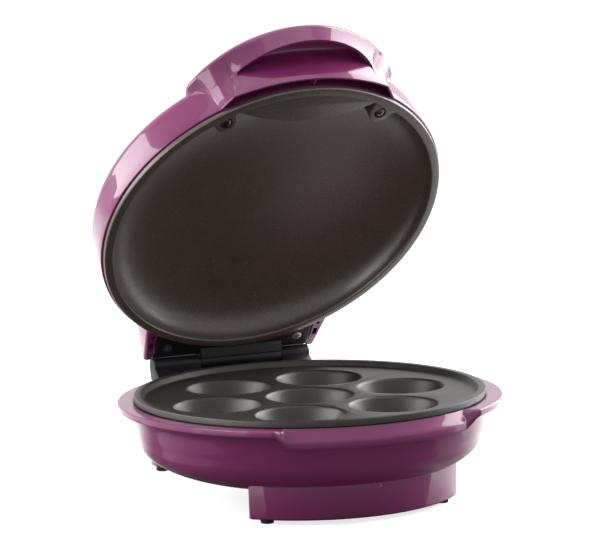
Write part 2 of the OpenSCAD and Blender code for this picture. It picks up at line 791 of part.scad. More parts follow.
module hinge_bracket() {
    left = [-barrel_half, knuckle_left - knuckle_gap];
    right = [knuckle_right + knuckle_gap, barrel_half];
    color(black) place_base()
        difference() {
            union() {
                for (x = [left, right]) {
                    translate([x[0], hinge_y, hinge_z]) rotate([0, 90, 0])
                        cylinder(r = barrel_r, h = x[1] - x[0]);
                    translate([x[0], 0, 0])
                        rotate([90, 0, 90])
                            linear_extrude(x[1] - x[0])
                                polygon([[bracket_y, block_top + 0.1], [hinge_y + 2.5, block_top + 0.1],
                                    [hinge_y + barrel_r * 0.97, hinge_z - 1], [hinge_y, hinge_z],
                                    [hinge_y - barrel_r, hinge_z - 1.2], [bracket_y, block_top + 3.4]]);
                }
                translate([left[0], bracket_y, block_top + 0.1])
                    cube([2 * barrel_half, hinge_y - 0.3 - bracket_y, web_top - block_top - 0.1]);
            }
            translate([sleeve_from, hinge_y, hinge_z]) rotate([0, 90, 0]) cylinder(r = sleeve_r, h = 40);
            translate([lead_x - 2, hinge_y, hinge_z]) rotate([0, 90, 0])
                cylinder(r = hinge_lead_r + 0.4, h = 20);
            translate([lead_x, hinge_y, hinge_z]) sphere(r = hinge_lead_r + 1);
            hull() {
                translate([lead_x, hinge_y, hinge_z - 1]) sphere(r = hinge_lead_r + 0.9, $fn = 24);
                translate([lead_x, hinge_y - 5.2, block_top]) sphere(r = hinge_lead_r + 1.1, $fn = 24);
            }
            translate([knuckle_right - 1, hinge_y, hinge_z]) rotate([0, 90, 0])
                cylinder(r = pin_r, h = pin_to - knuckle_right + 1.2);
            for (x = bracket_screw_x)
                translate([x, bracket_screw_y, block_top - 1]) cylinder(r = screw_r, h = 4.6);
        }
}

module hinge_bracket_screws() {
    color(steel) place_base()
        for (x = bracket_screw_x)
            translate([x, bracket_screw_y, duct_top - 0.05]) screw(5.8);
}

module hinge_sleeve() {
    color(steel) place_base()
        translate([sleeve_from, hinge_y, hinge_z])
            rotate([0, 90, 0])
                difference() {
                    cylinder(r = sleeve_r, h = sleeve_to - sleeve_from);
                    translate([0, 0, -1]) cylinder(r = sleeve_bore, h = sleeve_to - sleeve_from + 2);
                }
}

module hinge_pin() {
    color(steel) place_base()
        translate([pin_from, hinge_y, hinge_z])
            rotate([0, 90, 0]) cylinder(r = pin_r, h = pin_to - pin_from);
}

// ---- lid ----

module rear_plan(inset) {
    polygon([[-rear_half + inset, rear_root_y], [rear_half - inset, rear_root_y],
        [tip_half - inset, tip_y], [-tip_half + inset, tip_y]]);
}

// The wedge behind the shell that reaches back to the hinge
module rear_wedge(inset) {
    drop = inset * 1.5;
    intersection() {
        translate([0, 0, lid_edge - (inset > 0 ? 1 : 0)]) linear_extrude(60) rear_plan(inset);
        translate([-80, 0, 0])
            rotate([90, 0, 90])
                linear_extrude(160)
                    polygon([[rear_root_y - 12, lid_edge - 2],
                        [tip_y - drop, lid_edge - 2], [tip_y - drop, lid_edge],
                        [slope_top_y - drop, dome_edge_z], [rear_root_y - 12, dome_edge_z + 3]]);
        rotate_extrude()
            polygon(concat([[0, 0], [far, 0], [far, dome_edge_z - 1], [dome_edge_r, dome_edge_z - inset]],
            [for (i = [9:-1:0]) let(a = dome_angle * i / 10)
                [(dome_sphere - inset) * sin(a), dome_c + (dome_sphere - inset) * cos(a)]]));
    }
}

module lip_circle(grow) {
    translate([0, grip_lip_r - grip_lip_y]) circle(r = grip_lip_r + grow, $fn = 180);
}

module grip_foot_plan() {
    root_y = -sqrt(lid_r * lid_r - grip_root * grip_root) - 0.5;
    intersection() {
        polygon([[-grip_root, root_y + 12], [-grip_root, root_y], [-grip_half, -grip_lip_y + 8.6],
            [-grip_half, -far], [grip_half, -far],
            [grip_half, -grip_lip_y + 8.6], [grip_root, root_y], [grip_root, root_y + 12]]);
        translate([0, grip_lip_r - grip_lip_y]) circle(r = grip_lip_r, $fn = 96);
    }
}

module hood_plan(inset) {
    intersection() {
        translate([0, hood_r - hood_y]) circle(r = hood_r - inset, $fn = 96);
        translate([-far / 2, -far]) square([far, far - 70]);
    }
}

hood_full_z = 27;
hood_over = 2.4;
pocket_top = hood_edge_z + 8.5;

module visor_plan() {
    intersection() {
        translate([0, visor_r - visor_y]) circle(r = visor_r, $fn = 96);
        translate([-far / 2, -far]) square([far, far - 96]);
    }
}

module handle_outer() {
    top = dome_edge_z + hood_over;
    hull() {
        translate([0, 0, lid_edge]) linear_extrude(0.5) grip_foot_plan();
        translate([0, 0, hood_edge_z]) linear_extrude(0.5) visor_plan();
        translate([0, 0, hood_full_z]) linear_extrude(top - 4.2 - hood_full_z) hood_plan(0);
        translate([0, 0, top - 2.6]) linear_extrude(0.2) hood_plan(1);
        translate([0, 0, top - 0.9]) linear_extrude(0.2) hood_plan(4);
        translate([0, 0, top - 0.2]) linear_extrude(0.2) hood_plan(8);
    }
}

// The scoop for the fingers: open in front below the hood's edge, a pocket behind it above
module finger_scoop() {
    translate([0, 0, -1])
        linear_extrude(hood_edge_z + 1)
            difference() {
                translate([-grip_half + 1.6, -far]) square([2 * grip_half - 3.2, far - 90]);
                lip_circle(0);
            }
    translate([0, 0, hood_edge_z - 1])
        linear_extrude(pocket_top - hood_edge_z + 1)
            difference() {
                translate([0, visor_r - visor_y]) circle(r = visor_r - 2, $fn = 128);
                lip_circle(0);
            }
}

// The slots between the shell's side and the lower lip, open downwards
module grip_slots() {
    translate([0, 0, lid_edge - 1])
        linear_extrude(hood_edge_z - lid_edge - 0.5)
            difference() {
                intersection() {
                    lip_circle(-grip_wall);
                    polygon([[-grip_root + 2, -80], [-grip_half + grip_wall - 1, -grip_lip_y + 10],
                        [-grip_half + grip_wall, -far], [grip_half - grip_wall, -far],
                        [grip_half - grip_wall + 1, -grip_lip_y + 10], [grip_root - 2, -80]]);
                }
                circle(r = lid_r - 1.3, $fn = 180);
                translate([-0.8, -far]) square([1.6, far]);
            }
}

module dish_screw_places() {
    for (s = [-1, 1]) translate([s * dish_screw_x, -dish_screw_y, 0]) children();
}

module lamp_places() {
    for (s = [-1, 1]) translate([s * 9, -84, 0]) children();
}

lens_r = 4;
lamp_low = 22.5;

module lid_housing() {
    post_low = lid_edge + dish_t + 0.2;
    color(purple) place_lid()
        difference() {
            union() {
                difference() {
                    union() {
                        rotate_extrude()
                            polygon(concat([[0, lid_edge]], shell_curve(0), [[0, dome_top]]));
                        rear_wedge(0);
                        handle_outer();
                    }
                    rotate_extrude()
                        polygon(concat([[0, lid_edge - 1], [lid_r - lid_wall, lid_edge - 1]],
                            shell_curve(lid_wall), [[0, dome_top - lid_wall]]));
                    difference() {
                        rear_wedge(lid_wall);
                        translate([0, 0, -1]) cylinder(r = dome_edge_r - 2, h = far);
                        difference() {
                            cylinder(r = lid_r, h = far);
                            translate([-16, 0, lid_edge + 2]) cube([32, far, far]);
                        }
                    }
                    grip_slots();
                    finger_scoop();
                }
                intersection() {
                    union() {
                        dish_screw_places() translate([0, 0, post_low]) cylinder(r = 3.8, h = far);
                        at_posts(upper_post_r, post_angles)
                            translate([0, 0, dish_out_z(upper_post_r) + 7.4]) cylinder(r = 4, h = far);
                        lamp_places() translate([0, 0, lamp_low]) cylinder(r = lens_r + 1.3, h = far);
                    }
                    rotate_extrude()
                        polygon(concat([[0, lid_edge]], shell_curve(0.8), [[0, dome_top - 0.8]]));
                }
                intersection() {
                    for (s = [-1, 1])
                        translate([s * tongue_screw_x, tongue_screw_y, lid_edge + tongue_t + 0.1])
                            cylinder(r = 3.6, h = far);
                    rear_wedge(0.8);
                }
            }
            dish_screw_places() translate([0, 0, post_low - 1]) cylinder(r = screw_r, h = 12);
            at_posts(upper_post_r, post_angles)
                translate([0, 0, dish_out_z(upper_post_r) + 6]) cylinder(r = screw_r, h = 6);
            lamp_places() {
                translate([0, 0, lamp_low - 1]) cylinder(r = lens_r - 0.6, h = far);
                translate([0, 0, dome_z(84) - 2.4]) cylinder(r = lens_r + 0.1, h = far);
            }
            for (s = [-1, 1]) {
                translate([s * tongue_screw_x, tongue_screw_y, 0])
                    cylinder(r = screw_r, h = lid_edge + tongue_t + 4);
                translate([s * (ear_in + 2.3) - 1.4, 97, lid_edge - 1]) cube([2.8, 5, 4]);
                translate([s * (ear_in + 2.7), 92.5, lid_edge - 1]) cylinder(r = 1.1, h = 5);
                rotate([0, 0, 90 + s * 20])
                    translate([lid_r - 6, -6.3, 6.9]) cube([12, 12.6, 1.8]);
            }
            translate([-ear_in, hinge_y, lid_hinge_z])
                rotate([0, 90, 0]) cylinder(r = barrel_r + 1.1, h = 2 * ear_in);
            lead_channel(hinge_lead_r + 1.8, 14);
            translate([-ear_in, 0, 0])
                linear_extrude(lid_edge + tongue_t + 0.1)
                    difference() {
                        translate([0, 80]) square([2 * ear_in, 60]);
                        translate([ear_in, 0]) circle(r = lid_r, $fn = 180);
                    }
        }
}

module shelf_plan(inset) {
    bulge_r = 93.4;
    near_y = 76.5;
    intersection() {
        circle(r = dish_r - inset, $fn = 128);
        union() {
            translate([0, -near_y - bulge_r]) circle(r = bulge_r - inset, $fn = 128);
            for (s = [-1, 1])
                translate([s * dish_screw_x, -dish_screw_y]) {
                    circle(r = 6.5 - inset);
                    rotate([0, 0, s * 31.3]) translate([-6.5 + inset, -20]) square([13 - 2 * inset, 20]);
                }
        }
    }
}

module lid_dish() {
    steps = 20;
    shelf_z = 3;
    inner = [for (i = [0:steps])
        let(a = 90 * i / steps, r = dish_r * pow(sin(a), 0.62)) [r, dish_in_z(r)]];
    outer = [for (p = inner) [p[0] * (dish_r + dish_t) / dish_r, p[1] + dish_t]];
    color(coating) place_lid()
        difference() {
            union() {
                rotate_extrude()
                    polygon(concat([[0, 0]], [[dish_r + dish_t, 0]], [for (i = [steps:-1:0]) outer[i]]));
                rotate_extrude()
                    polygon([[dish_r - 1, 0.5], [dish_r + 0.6, 0], [dish_rim_r - 1, 0], [dish_rim_r, 1],
                        [dish_rim_r, lid_edge - seat_gap], [dish_rim_r - 1.5, lid_edge - seat_gap],
                        [dish_rim_r - 1.5, 1.6], [dish_r - 1, 1.6]]);
                for (s = [-1, 1])
                    rotate([0, 0, 90 + s * 20])
                        translate([dish_r - 3, -6, 7.1]) cube([lid_r - dish_r + 5, 12, 1.4]);
            }
            difference() {
                rotate_extrude()
                    polygon(concat([[0, -1]], [[dish_r, -1]], [for (i = [steps:-1:0]) inner[i]]));
                translate([0, 0, shelf_z]) linear_extrude(far) shelf_plan(0);
            }
            translate([0, 0, shelf_z + dish_t]) linear_extrude(far) shelf_plan(dish_t);
            dish_screw_places() {
                cylinder(r = screw_r + 0.2, h = 10);
            }
        }
}

module dish_screws() {
    color([0.3, 0.3, 0.3]) place_lid()
        dish_screw_places() translate([0, 0, 2.9]) screw(11, head_r = 3.1, head_h = 1.6);
}

// The bent way of the lid's lead, from the hinge axis up and forward into the shell
channel_x = -5;
channel_rise = 7.6;
channel_tilt = 71;

module lead_channel(r, reach) {
    translate([channel_x, hinge_y, lid_hinge_z])
        rotate([45, 0, 0]) {
            cylinder(r = r, h = channel_rise + r / 2);
            translate([0, 0, channel_rise])
                rotate([channel_tilt - 45, 0, 0])
                    translate([0, 0, -r / 2]) cylinder(r = r - 0.06, h = reach + r / 2);
        }
}

module hinge_tongue() {
    width = knuckle_right - knuckle_left;
    color(black) place_lid()
        difference() {
            union() {
                translate([-barrel_half + 0.3, 0, lid_edge])
                    linear_extrude(tongue_t)
                        difference() {
                            translate([0, 86]) square([2 * barrel_half - 0.6, tongue_y - 86]);
                            translate([barrel_half - 0.3, 0]) circle(r = tongue_r, $fn = 180);
                        }
                translate([knuckle_left, 0, 0])
                    rotate([90, 0, 90])
                        linear_extrude(width)
                            union() {
                                polygon([[tongue_r + 0.3, lid_edge - 0.8], [tongue_y, lid_hinge_z - 2.4],
                                    [hinge_y, lid_hinge_z], [hinge_y + 1.6, lid_hinge_z + barrel_r * 0.9],
                                    [tongue_y, lid_edge + tongue_t],
                                    [tongue_r + 0.3, lid_edge + tongue_t]]);
                                translate([hinge_y, lid_hinge_z])
                                    polygon(concat([[0, 0]], arc(0, 0, heel_r, heel_from, heel_to, 6)));
                            }
                translate([knuckle_left, hinge_y, lid_hinge_z]) rotate([0, 90, 0])
                    cylinder(r = barrel_r, h = width);
                lead_channel(hinge_lead_r + 1.5, 5);
            }
            translate([knuckle_left - 1, hinge_y, lid_hinge_z])
                rotate([0, 90, 0]) cylinder(r = sleeve_r + pivot_fit, h = sleeve_to - knuckle_left + 1.4);
            translate([sleeve_to - 1, hinge_y, lid_hinge_z])
                rotate([0, 90, 0]) cylinder(r = hinge_lead_r + 0.5, h = 10);
            lead_channel(hinge_lead_r + 0.5, 12);
            translate([pin_from - 0.5, hinge_y, lid_hinge_z]) rotate([0, 90, 0])
                cylinder(r = pin_r + pivot_fit, h = 20);
            for (s = [-1, 1])
                translate([s * tongue_screw_x, tongue_screw_y, 0]) {
                    cylinder(r = screw_r + 0.2, h = 20);
                    cylinder(r = screw_head_r + 0.2, h = lid_edge + 1.9);
                }
        }
}

module hinge_tongue_screws() {
    color(steel) place_lid()
        for (s = [-1, 1])
            translate([s * tongue_screw_x, tongue_screw_y, lid_edge + 1.9]) screw(5);
}

module upper_heating_element() {
    color([0.45, 0.44, 0.43]) place_lid() {
        element_ring(upper_ring_r, upper_ring_z);
        for (s = [-1, 1])
            rotate([0, 0, s * element_gap_half])
                translate([0, upper_ring_r, upper_ring_z]) {
                    sphere(r = element_tube_r + 0.05);
                    rotate([-90, 0, 0]) cylinder(r = element_tube_r - 0.3, h = 16);
                    rotate([-90, 0, 0]) cylinder(r = 1.2, h = 20);
                }
    }
}

module upper_element_clips() {
    color(steel) place_lid()
        for (a = [30, 150, 270])
            rotate([0, 0, a - 90]) translate([0, upper_ring_r, 0])
                mirror([0, 0, 1]) element_strap(-upper_ring_z, -upper_shield_z);
}

module upper_heat_shield() {
    flange_z = dish_out_z(upper_post_r) + 7.3 - shield_t;
    color([0.78, 0.78, 0.79]) place_lid()
        difference() {
            rotate_extrude()
                polygon([[0, upper_shield_z], [upper_shield_flat, upper_shield_z],
                    [upper_post_r - 5.5, flange_z], [upper_shield_r, flange_z],
                    [upper_shield_r, flange_z + shield_t], [upper_post_r - 5, flange_z + shield_t],
                    [upper_shield_flat + 0.5, upper_shield_z + shield_t],
                    [0, upper_shield_z + shield_t]]);
            at_posts(upper_post_r, post_angles) cylinder(r = screw_r + 0.2, h = far);
            translate([-19, upper_ring_r + 6, 0]) cube([38, far, far]);
            translate([-24, 54, 0]) cube([8, far, far]);
        }
}

module upper_shield_screws() {
    flange_z = dish_out_z(upper_post_r) + 7.3 - shield_t;
    color(steel) place_lid()
        at_posts(upper_post_r, post_angles) translate([0, 0, flange_z]) screw(4.4, head_h = 1.4);
}

function upper_pin(s, beyond) =
    [s * (upper_ring_r + 20 + beyond) * sin(element_gap_half),
        (upper_ring_r + 20 + beyond) * cos(element_gap_half), upper_ring_z];

module lid_lead_upper() {
    color([0.75, 0.73, 0.7]) place_lid()
        lead([[knuckle_left + 0.3, hinge_y, lid_hinge_z], [-14, hinge_y, lid_hinge_z],
            [-9, hinge_y, lid_hinge_z],
            [-6, hinge_y - 0.8, lid_hinge_z + 0.8], [channel_x, hinge_y - 2.8, lid_hinge_z + 2.8],
            [channel_x, hinge_y - 5, lid_hinge_z + 5.1], [channel_x, 103.6, 7.5],
            [channel_x, 98.4, 9.8], [-6, 90, 19], [-13, 76, 27]], hinge_lead_r);
}

module upper_element_lead() {
    color([0.45, 0.25, 0.15]) place_lid() {
        lead([[-14.6, 74.4, 27.4], [-17, 71, 29.6], upper_pin(-1, 3), upper_pin(-1, 0.2)], lead_r);
        lead([[-12.6, 74.2, 27], [-4, 71, 29], [10, 71, 31], upper_pin(1, 3.5), upper_pin(1, 0.2)],
            lead_r);
    }
}

module indicator_lamps() {
    color([0.9, 0.8, 0.7]) place_lid()
        lamp_places() {
            translate([0, 0, lamp_low + 1])
                cylinder(r = lens_r - 0.7, h = dome_z(84) - 2.6 - lamp_low - 1);
            translate([0, 0, lamp_low - 2]) cylinder(r = 1.4, h = 3.2);
        }
}

module lamp_leads() {
    color([0.85, 0.85, 0.85]) place_lid()
        for (s = [-1, 1])
            lead([[-16 + s, 77.5, 27.4], [-21 + s * 1.5, 70, 32], [-21 + s * 1.5, 60, 35.4],
                [-21 + s * 1.5, 52, 37], [-20 + s * 3, 20, 37.4], [-14 + s * 8, -20, 37.6],
                [-8 + s * 14, -46, 37.4], [-6 + s * 15.5, -54, 37.1], [-4 + s * 17, -61, 35.2],
                [s * 17, -72, 31.8], [s * 17, -79, 31],
                [s * 16.5, -83.4, 27], [s * 15, -84, 22.4], [s * 10.5, -84, 21.6]], 0.6);
}

module lens(tint, s) {
    color(tint) place_lid()
        translate([s * 9, -84, 0]) {
            translate([0, 0, dome_z(84) - 2.3]) cylinder(r = lens_r, h = 2.3);
            translate([0, 0, dome_z(84) - 0.1]) cylinder(r1 = lens_r, r2 = lens_r - 1.2, h = 1.3);
        }
}

module power_lens() {
    lens([0.8, 0.15, 0.1], -1);
}

module ready_lens() {
    lens([0.2, 0.6, 0.25], 1);
}

base_housing();
bottom_cover();
bottom_cover_screws();
rubber_pads();
lower_baking_plate();
lower_heating_element();
element_clips();
lower_heat_shield();
plate_screws();
thermostat();
thermal_fuse();
fuse_clip();
terminal_block();
live_lead();
thermostat_leads();
neutral_lead();
earth_lead();
lid_lead_lower();
cord_inlet();
cord_clamp();
cord_clamp_screws();
hinge_bracket();
hinge_bracket_screws();
hinge_sleeve();
hinge_pin();
lid_housing();
lid_dish();
dish_screws();
hinge_tongue();
hinge_tongue_screws();
upper_heating_element();
upper_element_clips();
upper_heat_shield();
upper_shield_screws();
lid_lead_upper();
upper_element_lead();
indicator_lamps();
lamp_leads();
power_lens();
ready_lens();
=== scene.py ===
"""A mini cake maker: a footed bowl with a welled baking plate, under a domed lid that stands open on its rear hinge.

Sizes are in millimetres in the part's own terms: a base piece is drawn about the baking plate's axis with the
table at z = 0, and a lid piece in the closed lid's frame, with z = 0 at the dish's rim, and then swung open.
"""

import functools
import json
import logging
import math
from dataclasses import dataclass
from enum import Enum
from typing import Callable, Dict, List, Sequence, Tuple

import bpy
from mathutils import Matrix, Vector


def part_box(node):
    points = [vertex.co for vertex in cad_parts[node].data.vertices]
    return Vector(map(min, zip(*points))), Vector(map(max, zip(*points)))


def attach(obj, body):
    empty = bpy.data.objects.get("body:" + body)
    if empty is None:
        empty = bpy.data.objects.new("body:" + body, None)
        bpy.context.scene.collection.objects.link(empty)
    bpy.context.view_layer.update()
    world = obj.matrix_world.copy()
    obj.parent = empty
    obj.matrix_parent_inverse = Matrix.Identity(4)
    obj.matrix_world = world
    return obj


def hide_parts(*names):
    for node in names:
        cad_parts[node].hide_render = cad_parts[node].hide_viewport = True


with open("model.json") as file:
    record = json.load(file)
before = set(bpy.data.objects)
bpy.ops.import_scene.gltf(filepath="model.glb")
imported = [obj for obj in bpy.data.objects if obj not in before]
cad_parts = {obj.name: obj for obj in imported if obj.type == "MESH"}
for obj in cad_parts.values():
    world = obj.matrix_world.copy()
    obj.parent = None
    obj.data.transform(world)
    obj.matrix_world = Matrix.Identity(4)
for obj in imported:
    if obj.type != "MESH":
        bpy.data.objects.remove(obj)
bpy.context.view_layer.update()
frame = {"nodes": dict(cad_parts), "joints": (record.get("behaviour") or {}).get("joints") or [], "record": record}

log = logging.getLogger("cake_maker")
Obj = bpy.types.Object
Socket = bpy.types.NodeSocket
Tree = bpy.types.NodeTree
Point2 = Tuple[float, float]
Point3 = Tuple[float, float, float]
Colour = Tuple[float, float, float, float]
MM = 0.001
SIDES = (-1, 1)


# ---- where things are ----


class Body(Enum):
    """The two bodies that the hinge joins."""

    BASE = "base"
    LID = "lid"


@dataclass(frozen=True)
class Layout:
    """Where the base and the lid lie, taken from the solids.

    Attributes:
        axis_y: Place of the baking plate's axis along Y, in metres.
        hinge: A point on the hinge axis, in metres.
        hinge_y: Distance from the plate's axis to the hinge axis, in millimetres.
        lid_z: Height of the closed dish's rim above the table, in millimetres.
        open_angle: Angle between the lid and its closed place, in degrees.
    """

    axis_y: float
    hinge: Vector
    hinge_y: float
    lid_z: float = 61.5
    open_angle: float = 52.5

    @classmethod
    def from_solids(cls) -> "Layout":
        """Reads the plate's middle and the hinge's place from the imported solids.

        Returns:
            The layout.
        """
        low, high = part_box("lower_baking_plate")
        axis_y = (low.y + high.y) / 2
        hinge = Vector(frame["joints"][0]["pos_m"])
        return cls(axis_y, hinge, (hinge.y - axis_y) / MM)

    def matrix(self, body: Body) -> Matrix:
        """Gives the way from a piece's own millimetres to the scene.

        Args:
            body: The body whose frame the piece is drawn in.

        Returns:
            The matrix that scales, turns and moves the piece.
        """
        if body is Body.BASE:
            return Matrix.Translation((0, self.axis_y, 0)) @ Matrix.Scale(MM, 4)
        swing = Matrix.Rotation(-math.radians(self.open_angle), 4, "X")
        drawn = Matrix.Translation((0, -self.hinge_y, self.lid_z - self.hinge.z / MM))
        return Matrix.Translation(self.hinge) @ swing @ Matrix.Scale(MM, 4) @ drawn


LAYOUT = Layout.from_solids()
# The hinge's axis in the closed lid's frame, as Y and Z.
LID_AXIS = (113.8, 0.3)


# ---- small sums ----


def mix(a: float, b: float, t: float) -> float:
    """Gives the value a share t of the way from a to b."""
    return a + (b - a) * t


def ease(low: float, high: float, value: float) -> float:
    """Gives a smooth step from 0 at low to 1 at high."""
    t = min(1.0, max(0.0, (value - low) / (high - low)))
    return t * t * (3 - 2 * t)


def polar(r: float, degrees: float, centre: Point2 = (0.0, 0.0)) -> Point2:
    """Gives the point at a radius and a direction from +X."""
    a = math.radians(degrees)
    return centre[0] + r * math.cos(a), centre[1] + r * math.sin(a)


def from_front(degrees: float) -> float:
    """Gives how far a direction from +X lies from -Y, in degrees."""
    return abs((degrees + 90 + 180) % 360 - 180)


def arc(cx: float, cz: float, r: float, start: float, end: float, steps: int) -> List[Point2]:
    """Gives points along a circular arc, both of its ends included, with angles in degrees."""
    return [polar(r, mix(start, end, i / steps), (cx, cz)) for i in range(steps + 1)]


def disc(cx: float, cy: float, r: float, sides: int) -> List[Point2]:
    """Gives the corners of a many-sided round outline."""
    return arc(cx, cy, r, 0, 360 - 360 / sides, sides - 1)


# ---- modelling by operators ----


def deselect() -> None:
    """Leaves edit mode and clears the selection."""
    if bpy.context.mode != "OBJECT":
        bpy.ops.object.mode_set(mode="OBJECT")
    bpy.ops.object.select_all(action="DESELECT")


def pick(obj: Obj) -> None:
    """Makes one object the only selected and the active one.

    Args:
        obj: The object.
    """
    deselect()
    obj.select_set(True)
    bpy.context.view_layer.objects.active = obj


def edit(obj: Obj, select: str = "SELECT") -> None:
    """Enters edit mode on an object.

    Args:
        obj: The object.
        select: SELECT for all of it, or DESELECT for none.
    """
    pick(obj)
    bpy.ops.object.mode_set(mode="EDIT")
    bpy.ops.mesh.select_mode(type="VERT")
    bpy.ops.mesh.select_all(action=select)


def leave() -> None:
    """Goes back to object mode."""
    bpy.ops.object.mode_set(mode="OBJECT")


def made(name: str) -> Obj:
    """Names the object that an operator has just added."""
    bpy.context.object.name = name
    return bpy.context.object


def loop(name: str, points: Sequence[Point3], fill: bool = False) -> Obj:
    """Makes a ring of edges through points, from a primitive circle.

    Args:
        name: The object's name.
        points: The points in order.
        fill: Whether the ring is filled with one face.

    Returns:
        The new object.
    """
    deselect()
    bpy.ops.mesh.primitive_circle_add(vertices=len(points), radius=1, fill_type="NGON" if fill else "NOTHING")
    obj = made(name)
    for vertex, point in zip(obj.data.vertices, points):
        vertex.co = point
    return obj


def clean(obj: Obj, gap: float = 0.0005) -> Obj:
    """Merges doubles and turns the faces outwards.

    Args:
        obj: The object.
        gap: Distance under which two points are one.

    Returns:
        The same object.
    """
    edit(obj)
    bpy.ops.mesh.remove_doubles(threshold=gap)
    bpy.ops.mesh.normals_make_consistent(inside=False)
    leave()
    return obj


def close_ends(obj: Obj) -> Obj:
    """Fills a skin's open ends, if it has any.

    Args:
        obj: The object.

    Returns:
        The same object.
    """
    edit(clean(obj), "DESELECT")
    bpy.ops.mesh.select_non_manifold(extend=False, use_wire=False, use_multi_face=False, use_verts=False)
    bpy.ops.mesh.fill_holes(sides=0)
    leave()
    return clean(obj)


def lathe(name: str, profile: Sequence[Point2], steps: int, centre: Point2 = (0.0, 0.0), start: float = 0.0,
          turn: float = 360.0) -> Obj:
    """Spins a closed profile about an upright axis.

    Args:
        name: The object's name.
        profile: Radius and height of each point.
        steps: Number of steps round the turn.
        centre: Where the axis stands.
        start: Angle of the first section, in degrees from +X.
        turn: Angle of the spin in degrees.

    Returns:
        The new object.
    """
    obj = loop(name, [(*polar(r, start, centre), z) for r, z in profile])
    edit(obj)
    bpy.ops.mesh.spin(steps=steps, angle=-math.radians(turn), center=(*centre, 0), axis=(0, 0, 1))
    leave()
    return close_ends(obj)


def prism(name: str, outline: Sequence[Point2], low: float, high: float) -> Obj:
    """Raises a flat outline into a solid.

    Args:
        name: The object's name.
        outline: The outline in plan.
        low: Height of its underside.
        high: Height of its top.

    Returns:
        The new object.
    """
    obj = loop(name, [(x, y, low) for x, y in outline], fill=True)
    edit(obj)
    bpy.ops.mesh.extrude_region_move(TRANSFORM_OT_translate={"value": (0, 0, high - low)})
    leave()
    return clean(obj)


def block(name: str, near: Point3, far: Point3) -> Obj:
    """Makes a box from a primitive cube.

    Args:
        name: The object's name.
        near: One corner.
        far: The opposite corner.

    Returns:
        The new object.
    """
    deselect()
    bpy.ops.mesh.primitive_cube_add(size=1, location=[(a + b) / 2 for a, b in zip(near, far)])
    obj = made(name)
    obj.scale = [abs(b - a) for a, b in zip(near, far)]
    bpy.ops.object.transform_apply(location=True, rotation=True, scale=True)
    return obj


def lattice(name: str, rows: Sequence[Sequence[Point3]], wrap: bool = False) -> Obj:
    """Makes a closed skin through rings of points, from a primitive grid.

    Args:
        name: The object's name.
        rows: The rings, each with the same number of points.
        wrap: Whether the last ring joins the first, rather than both being filled.

    Returns:
        The new object.
    """
    lines = [[*row, row[0]] for row in [*rows, *(rows[:1] if wrap else [])]]
    across, along = len(lines[0]), len(lines)
    deselect()
    bpy.ops.mesh.primitive_grid_add(x_subdivisions=across - 1, y_subdivisions=along - 1, size=2)
    obj = made(name)
    for vertex in obj.data.vertices:
        i = round((vertex.co.x + 1) / 2 * (across - 1))
        j = round((vertex.co.y + 1) / 2 * (along - 1))
        vertex.co = lines[j][i]
    return close_ends(obj)


def swept(name: str, section: Callable[[float], List[Point2]], steps: int) -> Obj:
    """Sweeps a closed section, which may change with its direction in degrees, once round the Z axis."""
    turns = [360 * i / steps for i in range(steps)]
    return lattice(name, [[(*polar(r, degrees), z) for r, z in section(degrees)] for degrees in turns], wrap=True)


def apply(obj: Obj, kind: str, **settings: object) -> Obj:
    """Adds a modifier, sets it and applies it.

    Args:
        obj: The object.
        kind: The modifier's type.
        **settings: Its settings.

    Returns:
        The same object.
    """
    pick(obj)
    modifier = obj.modifiers.new(kind.title(), kind)
    for key, value in settings.items():
        setattr(modifier, key, value)
    bpy.ops.object.modifier_apply(modifier=modifier.name)
    return obj


def cut(obj: Obj, *tools: Obj, keep: str = "DIFFERENCE") -> Obj:
    """Takes tools out of a solid, or joins or meets it with them, and clears them away.

    Args:
        obj: The solid.
        *tools: The solids that cut it.
        keep: DIFFERENCE, UNION or INTERSECT.

    Returns:
        The same solid.
    """
    for tool in tools:
        apply(obj, "BOOLEAN", operation=keep, solver="EXACT", object=tool)
        bpy.data.objects.remove(tool)
    return obj


def soften(obj: Obj, width: float, segments: int = 3, angle: float = 32.0) -> Obj:
    """Rounds the edges that are sharper than an angle."""
    return apply(obj, "BEVEL", width=width, segments=segments, limit_method="ANGLE",
                 angle_limit=math.radians(angle), use_clamp_overlap=True, miter_outer="MITER_ARC")


def join(obj: Obj, *others: Obj) -> Obj:
    """Joins other meshes to an object as parts of the same piece.

    Args:
        obj: The object that stays.
        *others: The objects that go into it.

    Returns:
        The same object.
    """
    pick(obj)
    for other in others:
        other.select_set(True)
    bpy.ops.object.join()
    return obj


def repeated(first: Obj, spots: Sequence[Point2], turns: Sequence[float] = ()) -> Obj:
    """Puts copies of a small piece in its stead, joined into one piece.

    Args:
        first: The piece, drawn at the axis.
        spots: Where the copies stand.
        turns: How far each is turned about Z, in degrees, if any is.

    Returns:
        The joined copies, under the piece's name.
    """
    name, copies = first.name, []
    for spot, turn in zip(spots, turns or [0.0] * len(spots)):
        twin = bpy.data.objects.new(name, first.data.copy())
        bpy.context.collection.objects.link(twin)
        twin.data.transform(Matrix.Translation((*spot, 0)) @ Matrix.Rotation(math.radians(turn), 4, "Z"))
        copies.append(twin)
    bpy.data.objects.remove(first)
    copies[0].name = name
    return join(*copies)


def from_solid(node: str, name: str, edge: float) -> Obj:
    """Takes a merged copy of a solid, in metres, with its edges rounded.

    Args:
        node: The solid's name.
        name: The new piece's name.
        edge: Radius of the rounding in millimetres.

    Returns:
        The new object.
    """
    obj = bpy.data.objects.new(name, frame["nodes"][node].data.copy())
    bpy.context.collection.objects.link(obj)
    edit(obj)
    bpy.ops.mesh.remove_doubles(threshold=0.000002)
    bpy.ops.mesh.customdata_custom_splitnormals_clear()
    bpy.ops.mesh.dissolve_limited(angle_limit=math.radians(0.6))
    leave()
    return soften(obj, edge * MM, 2, 38.0)


